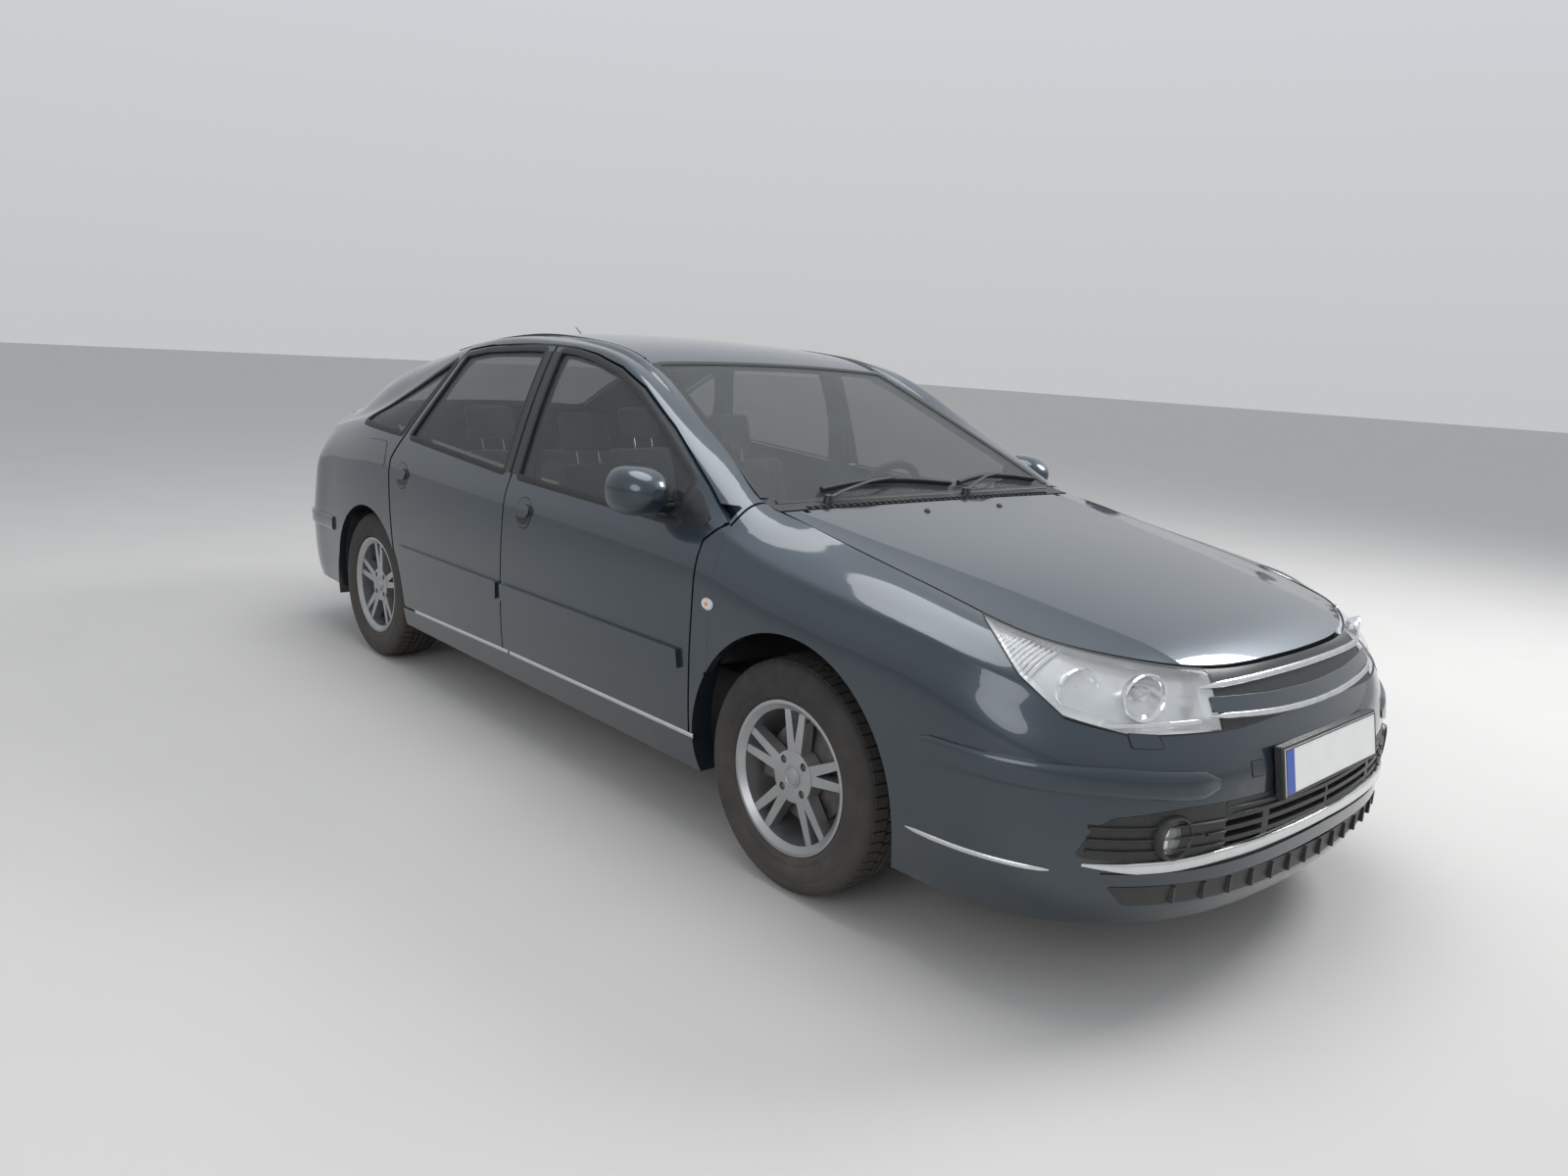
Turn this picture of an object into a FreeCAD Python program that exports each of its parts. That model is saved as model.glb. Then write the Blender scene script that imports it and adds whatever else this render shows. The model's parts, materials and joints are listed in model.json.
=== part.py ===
"""Five-door fastback saloon car, built as separate body panels, doors, glass, wheels and running gear.

Millimetres. +X is the front of the car, +Y its left side and +Z up. The origin is on the ground below the
middle of the car's length and width.
"""

import FreeCAD, Part
import math
import os

V = FreeCAD.Vector

# Wheels and axles
WHEELBASE = 2750.0
FRONT_AXLE_X = 1340.0
REAR_AXLE_X = FRONT_AXLE_X - WHEELBASE
FRONT_TRACK = 1530.0
REAR_TRACK = 1500.0
TYRE_RADIUS = 321.0
TYRE_WIDTH = 215.0
RIM_RADIUS = 219.0
TYRE_FACETS = 64
BEAD_GAP = 0.1
RIM_WIDTH = 190.0
FRONT_ARCH_RADIUS = 392.0
REAR_ARCH_RADIUS = 357.0

# Walls and gaps
DOOR_THICK = 55.0
FRAME_THICK = 20.0
SHELL_THICK = 92.0
SHELL_FRAME_THICK = 42.0
PANEL_THICK = 26.0
GLASS_THICK = 5.0
GLASS_INSET = 7.0
SHUT_GAP = 7.5
COWL_GAP = 13.0
NOSE_THICK = 26.0
TAIL_THICK = 30.0
SWING_RELIEF = 5.0
POCKET_DEPTH = 13.0
LID_GAP = 6.5
LID_RISE = 1.0
GLASS_DROP = 1.0
RAIL_LAP = 60.0
SEAT_GAP = 0.3
LID_LAP = 3.0

# Front and rear ends in plan: where the straight side stops and how square the rounded end is
FRONT_ROUND_X = 1750.0
REAR_ROUND_X = -1950.0
FRONT_SQUARENESS = 2.6
REAR_SQUARENESS = 3.1
ROUND_ANGLES = (78.0, 62.0, 47.0, 33.0, 20.0, 7.0, -7.0, -20.0)

# Heights and tucks shared by every side section
SILL_Z = 190.0
SILL_BOTTOM_Z = 216.0
SILL_TUCK = 50.0
LOW_Z = 310.0
LOW_TUCK = 14.0
FLANK_Z = 450.0
FLANK_TUCK = 3.0
WAIST_Z = 600.0
GLASS_BULGE = 10.0

# Side sections, front to rear: x, waist y, shoulder y z, belt y z, window top y z, rail y z, roof edge y
SIDE_SECTIONS = (
    (1750, 886, 872, 738, 852, 785, 815, 825, 765, 853, 700),
    (1545, 889, 876, 755, 856, 805, 820, 850, 766, 884, 700),
    (1340, 890, 878, 775, 858, 828, 822, 873, 767, 908, 698),
    (1150, 889, 878, 800, 857, 858, 820, 905, 766, 942, 697),
    (1010, 888, 876, 830, 852, 895, 812, 948, 762, 986, 692),
    (850, 888, 874, 848, 846, 918, 795, 1015, 752, 1062, 662),
    (600, 888, 873, 855, 845, 930, 742, 1165, 700, 1200, 612),
    (250, 888, 873, 862, 845, 944, 690, 1340, 645, 1369, 555),
    (-170, 888, 873, 868, 845, 958, 679, 1390, 643, 1425, 572),
    (-750, 887, 872, 880, 844, 985, 680, 1368, 643, 1407, 566),
    (-1100, 886, 871, 890, 842, 1005, 686, 1277, 650, 1330, 566),
    (-1410, 884, 868, 893, 838, 1012, 712, 1160, 662, 1245, 572),
    (-1750, 876, 855, 890, 818, 985, 738, 1060, 674, 1140, 588),
    (-1950, 868, 842, 880, 800, 958, 738, 1015, 676, 1056, 600),
)
# x and z on the centre line, from the lower lip up to the edge of the bonnet or the tail lid
NOSE_PROFILE = (
    (2306, 185), (2364, 262), (2372, 350), (2371, 440), (2364, 520), (2349, 585),
    (2326, 640), (2304, 682), (2286, 714), (2270, 742), (2252, 768),
)
TAIL_PROFILE = (
    (-2290, 215), (-2350, 310), (-2370, 400), (-2372, 500), (-2360, 580), (-2335, 660),
    (-2322, 750), (-2318, 840), (-2322, 920), (-2326, 975), (-2312, 1010),
)
# Top of the body: x, centre z, drop at CROWN_Y from the centre line
BONNET_SECTIONS = (
    (2330, 728, 150), (2252, 768, 95), (2165, 806, 55), (1985, 848, 36), (1750, 890, 26),
    (1545, 923, 20), (1340, 953, 13), (1150, 982, 6), (1010, 1003, 2), (960, 1010, 1),
)
ROOF_SECTIONS = (
    (1100, 958, 0), (1010, 1003, 0), (850, 1089, 6), (600, 1215, 14), (400, 1310, 19), (250, 1375, 24),
    (130, 1415, 27), (-20, 1444, 29), (-170, 1458, 30), (-400, 1467, 32), (-620, 1457, 34),
    (-950, 1419, 36), (-1220, 1369, 36), (-1420, 1322, 36), (-1730, 1219, 34), (-1960, 1110, 32),
    (-2150, 1036, 32), (-2250, 1020, 40), (-2350, 1010, 55), (-2400, 1005, 65),
)
CROWN_Y = 700.0
CROWN_POWER = 2.2
CROWN_COLUMNS = (-760, -560, -300, 0, 300, 560, 760)

# Outlines in side view, x and z. The doors' outlines are their own edges.
FRONT_DOOR = (
    (930, 334), (930, 900), (988, 948), (850, 1036), (600, 1183), (400, 1290), (250, 1347),
    (90, 1382), (-60, 1400), (-176, 1404), (-176, 962), (-180, 930), (-180, 316),
)
REAR_DOOR = (
    (-187, 316), (-187, 1404), (-364, 1403), (-666, 1388), (-850, 1366), (-890, 1336), (-1086, 1002),
    (-1162, 905), (-1167, 857), (-1140, 690), (-1109, 536), (-1040, 303),
)
FRONT_WINDOW = (
    (800, 930), (785, 1050), (590, 1163), (388, 1272), (250, 1328), (90, 1365), (-27, 1381),
    (-130, 1386), (-130, 956),
)
REAR_WINDOW = (
    (-240, 962), (-240, 1386), (-364, 1385), (-666, 1369), (-845, 1345), (-1030, 1012),
)
QUARTER_WINDOW = (
    (-1120, 1020), (-935, 1325), (-1094, 1262), (-1385, 1135), (-1500, 1075), (-1540, 1035),
)
DOORWAY_INSET = 40.0
# The wing's edge behind the bumper and lamp, then round by the door and the windscreen pillar
FRONT_WING = (
    (937, 330), (937, 897), (1000, 946), (1032, 1100), (2400, 1100), (2400, 690), (2090, 687),
    (1553, 658), (1553, 330),
)
FRONT_BUMPER = (
    (1553, 214), (1553, 658), (2090, 687), (2200, 654), (2300, 648), (2330, 665), (2500, 665), (2500, 214),
)
REAR_BUMPER = ((-1640, 250), (-1640, 600), (-2100, 640), (-2500, 645), (-2500, 250))
TAIL_LAMP = ((-2130, 720), (-2110, 930), (-2200, 965), (-2500, 965), (-2500, 690), (-2190, 690))
BODY_SIDE_FRONT_X = 1002.0
# Notch in the pillar's foot that the front upper corner of the front door swings through: x, y and z spans
CORNER_NOTCH = (856.0, 992.0, 765.0, 812.0, 922.0, 996.0)
# Headlamp corners seen along the car's front corner: x, y, z
HEADLAMP = (
    (1830, 720, 846), (1997, 800, 762), (2100, 770, 690), (2200, 660, 656), (2302, 432, 650),
    (2262, 425, 760), (2100, 560, 900), (1790, 715, 905),
)
HEADLAMP_VIEW_ANGLE = 45.0
LID_TAIL_Y = 560.0
LID_TAIL_X = -2060.0
LID_TAIL_BLEND = 120.0
LID_BOTTOM_Z = 655.0
ROOF_FRONT_X = 232.0
ROOF_REAR_X = -1150.0
# Channel under the roof's rear edge for the tail lid's front edge: its depth, half width and drop below the skin
ROOF_CHANNEL = (8.0, 300.0, 11.0)
COWL_REAR_X = 1012.0
BONNET_REAR_X = 1085.0
REAR_GLASS_OUTLINE = ((-1195, 505), (-1195, -505), (-1960, -535), (-1960, 535))
LOWER_GRILLE_HALF_WIDTH = 600.0
LOWER_GRILLE_Z = (300.0, 455.0)
LOWER_GRILLE_BARS = 6
LOWER_GRILLE_POSTS = (-20.0, 280.0, 575.0)
GRILLE_POST_WIDTH = 25.0
GRILLE_BAR_SHARE = 0.45
UPPER_GRILLE_HALF_WIDTH = 440.0

# Wheels and running gear
HUB_RADIUS = 72.0
SPOKE_PAIRS = 5
SPOKE_SPLAY = 9.0
BOLTS = 4
BOLT_CIRCLE = 54.0
DISC_RADIUS = 140.0
SPINDLE_RADIUS = 24.0
SPINDLE_REACH = 34.0
KNUCKLE_CLEARANCE = 6.0
HUB_DEPTH = 68.0
BALL_JOINT = (FRONT_AXLE_X, FRONT_TRACK / 2 - 85.0, 215.0)
BALL_PIN_RADIUS = 12.0
STRUT_TOP = (FRONT_AXLE_X, FRONT_TRACK / 2 - 190.0, 800.0)
FLOOR_Z = 220.0
FLOOR_THICK = 12.0
BOOT_FLOOR_Z = 400.0
BOOT_STEP_X = -1050.0
REAR_ARM_Y = (500.0, 560.0)
TUNNEL_HALF_WIDTH = 130.0
TUNNEL_HEIGHT = 150.0
WHEEL_HOUSE_Y = 570.0
FIREWALL_X = 1012.0
RAIL_Y = 400.0
EXHAUST_RADIUS = 26.0
EXHAUST_Z = 188.0

# Hinges
PIN_RADIUS = 4.0
PIN_PLAY = 0.3
DOOR_HINGE_Y = 877.0
DOOR_HINGE_Z = (450.0, 740.0)
DOOR_HINGE_SETBACK = 25.0
HINGE_ROOT_Y = 812.0
LID_HINGE_SETBACK = 9.0
BONNET_HINGE_Y = 610.0
TAILGATE_HINGE_Y = 400.0

# Cabin
SEAT_Z = 520.0
SEAT_LENGTH = 500.0
FASCIA_HALF_WIDTH = 660.0
SEAT_LEAN = 20.0
WHEEL_X = 470.0
WHEEL_Y = 370.0
WHEEL_Z = 880.0
WHEEL_RADIUS = 178.0
MIRROR_CENTRE = (672.0, 928.0, 1012.0)
MIRROR_HALF_WIDTH = 88.0
MIRROR_HALF_HEIGHT = 74.0
MIRROR_POINTS = 16
# How far each section of the mirror's housing lies ahead of its glass side, and its share of the full size
MIRROR_SECTIONS = ((0, 0.97), (25, 1.0), (60, 0.96), (95, 0.82), (125, 0.56), (142, 0.22))
MIRROR_HOLLOW = ((-5, 0.93), (12, 0.9))


def spacing(lines):
    """Shared parameters for lines of points, from the mean distance between neighbouring points."""
    total, marks = 0.0, [0.0]
    for i in range(1, len(lines[0])):
        total += sum((line[i] - line[i - 1]).Length for line in lines) / len(lines)
        marks.append(total)
    return marks


def through(lines, marks):
    """Cubic curves through lines of points at shared parameters."""
    curves = []
    for line in lines:
        curve = Part.BSplineCurve()
        curve.interpolate(Points=line, Parameters=marks)
        curves.append(curve)
    return curves


def surface(grid):
    """A smooth skin through a grid of points: curves along it first, then across through their poles."""
    rows = [list(row) for row in zip(*grid)]
    along = through(rows, spacing(rows))
    net = [list(column) for column in zip(*(curve.getPoles() for curve in along))]
    across_skin = through(net, spacing([list(station) for station in grid]))
    skin = Part.BSplineSurface()
    skin.buildFromPolesMultsKnots(
        [curve.getPoles() for curve in across_skin],
        along[0].getMultiplicities(), across_skin[0].getMultiplicities(),
        along[0].getKnots(), across_skin[0].getKnots(), False, False, 3, 3)
    return skin


def crown_grid(sections, raise_z=0.0):
    """Rows of points across the car, one row per top section."""
    return [
        [V(x, y, z - drop * (abs(y) / CROWN_Y) ** CROWN_POWER + raise_z) for y in CROWN_COLUMNS]
        for x, z, drop in sections
    ]


BONNET_SKIN = surface(crown_grid(BONNET_SECTIONS))
ROOF_SKIN = surface(crown_grid(ROOF_SECTIONS))


def top_z(x, y):
    """Height of the bonnet, roof or lid skin above a point in plan."""
    skin = BONNET_SKIN if x > (COWL_REAR_X + BONNET_REAR_X) / 2 else ROOF_SKIN
    z = 1000.0
    for _ in range(6):
        z = skin.value(*skin.parameter(V(x, y, z))).z
    return z


def side_levels(row):
    """Points of a side section from the sill to the rail, then the roof edge's y."""
    x, waist, sh_y, sh_z, belt_y, belt_z, top_y, window_z, rail_y, rail_z, edge_y = row
    return [
        (waist - SILL_TUCK, SILL_Z),
        (waist - LOW_TUCK, LOW_Z),
        (waist - FLANK_TUCK, FLANK_Z),
        (waist, WAIST_Z),
        ((waist + sh_y) / 2 + 4, (WAIST_Z + sh_z) / 2),
        (sh_y, sh_z),
        (belt_y, belt_z),
        ((belt_y + top_y) / 2 + GLASS_BULGE, (belt_z + window_z) / 2),
        (top_y, window_z),
        (rail_y, rail_z),
        (edge_y, 0.0),
    ]


def end_station(row, profile, squareness, angle):
    """One station of a rounded end, between the last side section and the centre profile."""
    c = abs(math.cos(math.radians(angle))) ** (2.0 / squareness)
    s = math.copysign(abs(math.sin(math.radians(angle))) ** (2.0 / squareness), angle) if angle else 0.0
    lift = (1.0 - math.cos(math.radians(abs(angle)))) ** 1.4
    station = []
    for (y, z), (tip_x, tip_z) in zip(side_levels(row), profile):
        station.append(V(row[0] + (tip_x - row[0]) * c, y * s, tip_z + (z - tip_z) * lift))
    return station


def side_grid():
    """Outer points of the left side, from past the middle of the nose to past the middle of the tail."""
    grid = []
    for angle in reversed(ROUND_ANGLES):
        grid.append(end_station(SIDE_SECTIONS[0], NOSE_PROFILE, FRONT_SQUARENESS, angle))
    for row in SIDE_SECTIONS:
        grid.append([V(row[0], y, z) for y, z in side_levels(row)])
    for angle in ROUND_ANGLES:
        grid.append(end_station(SIDE_SECTIONS[-1], TAIL_PROFILE, REAR_SQUARENESS, angle))
    for station in grid:
        station[-1].z = top_z(station[-1].x, station[-1].y)
    return grid


def plan_normals(grid):
    """Level unit vectors that point into the car at each point of the grid."""
    normals = []
    for i, station in enumerate(grid):
        before, after = grid[max(0, i - 1)], grid[min(len(grid) - 1, i + 1)]
        row = []
        for k in range(len(station)):
            along = after[k] - before[k]
            normal = V(-along.y, along.x, 0)
            normal.normalize()
            row.append(normal)
        normals.append(row)
    return normals


SIDE_GRID = side_grid()
SIDE_NORMALS = plan_normals(SIDE_GRID)
BELT_ROW = 6
THICKNESS_EASE = 0.35
INNER_ROWS = (0, 2, 4, 6, 7, 8, 10)
# How much of an upper wall's depth goes level and how much down, for each row above the belt
UPPER_SHARES = ((1.0, 0.0), (0.95, 0.28), (0.65, 0.72), (0.0, 1.0))


def inset_grid(lower, upper):
    """The side grid moved into the car, by one depth below the belt and another above it."""
    grid = []
    for station, normals in zip(SIDE_GRID, SIDE_NORMALS):
        glass_height = station[BELT_ROW + 2].z - station[BELT_ROW].z
        depth = min(lower, upper + THICKNESS_EASE * glass_height)
        row = []
        for k, (point, normal) in enumerate(zip(station, normals)):
            if k <= BELT_ROW:
                shift = normal * depth
            else:
                level, down = UPPER_SHARES[k - BELT_ROW - 1]
                shift = normal * (upper * level) - V(0, 0, upper * down)
            row.append(point + shift)
        grid.append(row)
    return grid


def stretch(grid, span):
    """The skin through a grid, trimmed to a span of its stations."""
    skin = surface(grid)
    if span:
        first, last = (skin.parameter(grid[i][4])[0] for i in span)
        _, _, low, high = skin.bounds()
        skin.segment(first, last, low, high)
    return skin.toShape()


def slab(outer, inner, span=None, rows=None):
    """A closed solid between two grids; rows picks the rows that shape the inner skin."""
    if rows:
        inner = [[station[k] for k in rows] for station in inner]
    faces = [stretch(outer, span), stretch(inner, span)]
    walls = [Part.makeRuledSurface(a, b).Faces[0] for a, b in zip(faces[0].Edges, faces[1].Edges)]
    shell = Part.Shell(faces + walls)
    shell.sewShape(0.01)
    solid = Part.Solid(shell)
    if solid.Volume < 0:
        solid.reverse()
    return solid


def side_slab(outer_depths, inner_depths, span=None, rows=None):
    return slab(inset_grid(*outer_depths), inset_grid(*inner_depths), span, rows)


def outline_face(points, grow=0.0, radius=0.0):
    """A flat face in plan from corner points, grown or shrunk, with its corners rounded."""
    wire = Part.makePolygon([V(a, b, 0) for a, b in points] + [V(points[0][0], points[0][1], 0)])
    face = Part.Face(wire)
    if radius:
        face = face.makeOffset2D(-radius, join=2).makeOffset2D(2 * radius, join=0).makeOffset2D(-radius, join=0)
    if grow:
        face = face.makeOffset2D(grow, join=0 if radius else 2)
    return face


def across(points, low_y, high_y, grow=0.0, radius=0.0):
    """A side-view outline extruded across the car."""
    face = outline_face(points, grow, radius)
    face.rotate(V(0, 0, 0), V(1, 0, 0), 90)
    face.translate(V(0, high_y, 0))
    return face.extrude(V(0, low_y - high_y, 0))


def upright(points, low_z=0.0, high_z=2000.0, grow=0.0, radius=0.0):
    """A plan outline extruded up."""
    face = outline_face(points, grow, radius)
    face.translate(V(0, 0, low_z))
    return face.extrude(V(0, 0, high_z - low_z))


def box(x0, x1, y0, y1, z0, z1):
    return Part.makeBox(x1 - x0, y1 - y0, z1 - z0, V(x0, y0, z0))


def mirrored(shape):
    return shape.mirror(V(0, 0, 0), V(0, 1, 0))


def largest(shape):
    return max(shape.Solids, key=lambda s: s.Volume)


def both_sides(half):
    """A half on the car's left joined with its mirror image at the centre line."""
    return half.fuse(mirrored(half)).removeSplitter()


def pair(left):
    return Part.makeCompound([left, mirrored(left)])


def middle(curve, low, high):
    """The parameter at which a curve crosses the car's centre plane."""
    sign = curve.value(low).y
    for _ in range(50):
        half = (low + high) / 2
        if curve.value(half).y * sign > 0:
            low = half
        else:
            high = half
    return low


def edge_prism(inset=0.0):
    """Everything inside the roof edge in plan, bounded below the upper rim of the side skin."""
    marks = spacing([list(row) for row in zip(*SIDE_GRID)])
    rim = [V(station[-1].x, station[-1].y, 0) + normals[-1] * inset
           for station, normals in zip(SIDE_GRID, SIDE_NORMALS)]
    curve = through([rim], marks)[0]
    curve.segment(middle(curve, marks[1], marks[2]), middle(curve, marks[-3], marks[-2]))
    edge = curve.toShape()
    wire = Part.Wire(Part.sortEdges([edge, mirrored(edge)])[0])
    return Part.Face(wire).extrude(V(0, 0, 2000))


# Spans of stations: ahead of the doors to the tail, and past both ends of the doors
FIRST_SIDE = len(ROUND_ANGLES)
CABIN_SPAN = (FIRST_SIDE + 2, FIRST_SIDE + 11)
NOSE_SPAN = (1, FIRST_SIDE + 4)
TAIL_SPAN = (FIRST_SIDE + 10, len(SIDE_GRID) - 2)
BODY_SPAN = (FIRST_SIDE + 2, len(SIDE_GRID) - 4)

NOSE_SKIN = side_slab((0, 0), (NOSE_THICK, NOSE_THICK), NOSE_SPAN)
TAIL_SKIN = side_slab((0, 0), (TAIL_THICK, TAIL_THICK), TAIL_SPAN)
DOOR_SKIN = side_slab((0, 0), (DOOR_THICK, FRAME_THICK), CABIN_SPAN)
SHELL = side_slab((0, 0), (SHELL_THICK, SHELL_FRAME_THICK), BODY_SPAN, INNER_ROWS)
POCKET = side_slab((-20, -20), (DOOR_THICK + POCKET_DEPTH, FRAME_THICK + POCKET_DEPTH), CABIN_SPAN)
GLASS = side_slab((GLASS_INSET, GLASS_INSET), (GLASS_INSET + GLASS_THICK, GLASS_INSET + GLASS_THICK), CABIN_SPAN)
TOP_EDGE = edge_prism(SEAT_GAP)
LID_SEAM = edge_prism(-LID_LAP)
POCKET_LIMIT = edge_prism(-RAIL_LAP)
LEFT_HALF = box(-3000, 3000, 0, 1500, 0, 2000)


def arch(axle_x, radius):
    """A wheel arch's space on the left, with its seam turned to the ground."""
    space = Part.makeCylinder(radius, 800, V(axle_x, 400, TYRE_RADIUS), V(0, 1, 0))
    space.rotate(V(axle_x, 0, TYRE_RADIUS), V(0, 1, 0), 90)
    return space


FRONT_ARCH = arch(FRONT_AXLE_X, FRONT_ARCH_RADIUS)
REAR_ARCH = arch(REAR_AXLE_X, REAR_ARCH_RADIUS)
DOOR_ARCH = arch(REAR_AXLE_X, REAR_ARCH_RADIUS + 15)


def lid_outline(grow=0.0, y=900.0):
    """Plan outline of the tail lid: the roof edge's width in front, the space between the lamps behind."""
    return (
        (ROOF_REAR_X - COWL_GAP + grow, y), (LID_TAIL_X, y), (LID_TAIL_X - 1 + grow, LID_TAIL_Y + LID_TAIL_BLEND),
        (LID_TAIL_X - LID_TAIL_BLEND, LID_TAIL_Y + grow), (-2500, LID_TAIL_Y + grow),
        (-2500, -LID_TAIL_Y - grow), (LID_TAIL_X - LID_TAIL_BLEND, -LID_TAIL_Y - grow),
        (LID_TAIL_X - 1 + grow, -LID_TAIL_Y - LID_TAIL_BLEND), (LID_TAIL_X, -y), (ROOF_REAR_X - COWL_GAP + grow, -y),
    )


def tail_outline(grow=0.0):
    """Plan outline of the part of the lid that comes down between the lamps."""
    return lid_outline(grow, LID_TAIL_Y + LID_TAIL_BLEND)[2:8]


def headlamp_prism(grow=0.0):
    """The lamp's outline extruded along its view direction through the front corner."""
    a = math.radians(HEADLAMP_VIEW_ANGLE)
    flat = [(-x * math.sin(a) + y * math.cos(a), z) for x, y, z in HEADLAMP]
    face = outline_face(flat, grow)
    solid = face.extrude(V(0, 0, 3000))
    solid.rotate(V(0, 0, 0), V(1, 0, 0), 90)
    solid.rotate(V(0, 0, 0), V(0, 0, 1), 90 + HEADLAMP_VIEW_ANGLE)
    return solid


def door_hinges(outline):
    """Plates with pins for the pillar, and the notches and bores that take them in the door."""
    x = max(a for a, b in outline[:6] if b < DOOR_HINGE_Z[1]) - DOOR_HINGE_SETBACK
    y = DOOR_HINGE_Y
    plates, notches = [], []
    for z in DOOR_HINGE_Z:
        pin = Part.makeCylinder(PIN_RADIUS, 90, V(x, y, z - 45))
        plates.append(box(x - 6, x + 2, HINGE_ROOT_Y, y, z - 14, z + 14).fuse(pin))
        notches.append(box(x - 13, x + 60, HINGE_ROOT_Y - 40, y, z - 20, z + 20))
        notches.append(Part.makeCylinder(PIN_RADIUS + 2.5, 40, V(x, y, z - 20)))
        notches.append(Part.makeCylinder(PIN_RADIUS + PIN_PLAY, 92, V(x, y, z - 46)))
    return plates, notches


def lid_hinges(x, half_span, toward):
    """Plates with level pins for the fixed panel, and the slots and bores that take them in the lid.

    toward is 1 where the lid lies ahead of its hinges and -1 where it lies behind them.
    """
    axis_x = x + toward * LID_HINGE_SETBACK
    z = top_z(axis_x, half_span) - LID_HINGE_SETBACK
    plates, slots = [], []
    for y in (-half_span, half_span):
        pin = Part.makeCylinder(PIN_RADIUS, 50, V(axis_x, y - 25, z), V(0, 1, 0))
        low, high = sorted((axis_x - toward * 36, axis_x + toward * 2))
        plates.append(box(low, high, y - 4, y + 4, z - 12, z + 2).fuse(pin))
        low, high = sorted((axis_x - toward * 30, axis_x + toward * 9))
        slots.append(box(low, high, y - 11, y + 11, z - 60, z + 60))
        slots.append(Part.makeCylinder(PIN_RADIUS + PIN_PLAY, 56, V(axis_x, y - 28, z), V(0, 1, 0)))
    return plates, slots


def build_door(outline, window, arch_cut=None):
    panel = DOOR_SKIN.common(across(outline, 0, 1000, radius=8))
    opening = across(window, 0, 1000, radius=10)
    panel = panel.cut(opening)
    if arch_cut:
        panel = panel.cut(arch_cut)
    glass = GLASS.common(opening)
    return largest(panel.cut(door_hinges(outline)[1])), largest(glass)


def build_body_side(wing):
    shell = SHELL.common(box(-2600, BODY_SIDE_FRONT_X, 100, 1000, SILL_BOTTOM_Z, 2000)).cut(wing)
    for outline in (FRONT_DOOR, REAR_DOOR):
        aperture = across(outline, 0, 1000, grow=SHUT_GAP)
        behind = aperture.translated(V(-SWING_RELIEF, 0, 0))
        shell = shell.cut(POCKET.common(aperture.fuse(behind).removeSplitter()).cut(POCKET_LIMIT))
        shell = shell.cut(across(outline, 0, 1000, grow=-DOORWAY_INSET))
    shell = shell.cut(box(*CORNER_NOTCH))
    shell = shell.cut(across(QUARTER_WINDOW, 0, 1000, radius=10))
    shell = shell.cut(REAR_ARCH).cut(FRONT_ARCH)
    shell = shell.cut(upright(tail_outline(SHUT_GAP), LID_BOTTOM_Z - SHUT_GAP, 2000))
    shell = shell.cut(box(-2600, -1600, 0, 1000, 0, 600)).cut(across(REAR_BUMPER, 0, 1000))
    shell = shell.cut(box(-2600, -1900, 0, LID_TAIL_Y + SHUT_GAP, 0, LID_BOTTOM_Z))
    shell = largest(shell.cut(across(TAIL_LAMP, LID_TAIL_Y, 1000)))
    plates = []
    for outline in (FRONT_DOOR, REAR_DOOR):
        plates += door_hinges(outline)[0]
    return shell.multiFuse(plates)


def top_panel(skin_sections, thick, raise_z=0.0):
    return slab(crown_grid(skin_sections, raise_z), crown_grid(skin_sections, raise_z - thick))


def build_top():
    """Bonnet, cowl, windscreen, roof, tail lid and its glass, all cut from the two top skins."""
    bonnet_slab = top_panel(BONNET_SECTIONS, PANEL_THICK)
    roof_slab = top_panel(ROOF_SECTIONS, PANEL_THICK)
    lid_slab = top_panel(ROOF_SECTIONS, PANEL_THICK, LID_RISE)
    glass_slab = top_panel(ROOF_SECTIONS, GLASS_THICK, -GLASS_DROP)
    lid_rim = edge_prism(LID_GAP)
    nose_rim = lid_rim.copy()
    nose_rim.translate(V(-SWING_RELIEF, 0, 0))
    bonnet = bonnet_slab.common(lid_rim).common(nose_rim).common(box(BONNET_REAR_X, 2400, -900, 900, 0, 2000))
    cowl = bonnet_slab.common(TOP_EDGE).common(box(COWL_REAR_X, BONNET_REAR_X - COWL_GAP, -900, 900, 0, 2000))
    plates, slots = lid_hinges(BONNET_REAR_X, BONNET_HINGE_Y, 1)
    bonnet, cowl = bonnet.cut(slots), cowl.multiFuse(plates)
    windscreen = glass_slab.common(TOP_EDGE).common(box(ROOF_FRONT_X, COWL_REAR_X, -900, 900, 0, 2000))
    roof = roof_slab.common(TOP_EDGE).common(box(ROOF_REAR_X, ROOF_FRONT_X, -900, 900, 0, 2000))
    depth, half_width, drop = ROOF_CHANNEL
    channel_top = top_z(ROOF_REAR_X, 0) - drop
    roof = roof.cut(box(ROOF_REAR_X - 1, ROOF_REAR_X + depth, -half_width, half_width, 0, channel_top))
    plates, slots = lid_hinges(ROOF_REAR_X - COWL_GAP, TAILGATE_HINGE_Y, -1)
    roof = roof.multiFuse(plates)
    lid_prism = upright(lid_outline(), 0, 2000)
    tail_zone = box(-2600, LID_TAIL_X, -900, 900, 0, 2000)
    lid_front = lid_slab.common(lid_rim).common(lid_prism).cut(tail_zone)
    lid_back = lid_slab.common(LID_SEAM).common(lid_prism).common(tail_zone)
    opening = upright(REAR_GLASS_OUTLINE, 0, 2000, radius=40)
    half = TAIL_SKIN.common(box(-2600, -2200, 0, 700, LID_BOTTOM_Z, 1200)).common(lid_prism)
    lid = lid_front.fuse(lid_back).cut([opening] + slots).fuse(both_sides(half))
    rear_glass = glass_slab.common(opening)
    return bonnet, cowl, windscreen, roof, lid.removeSplitter(), rear_glass


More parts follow.
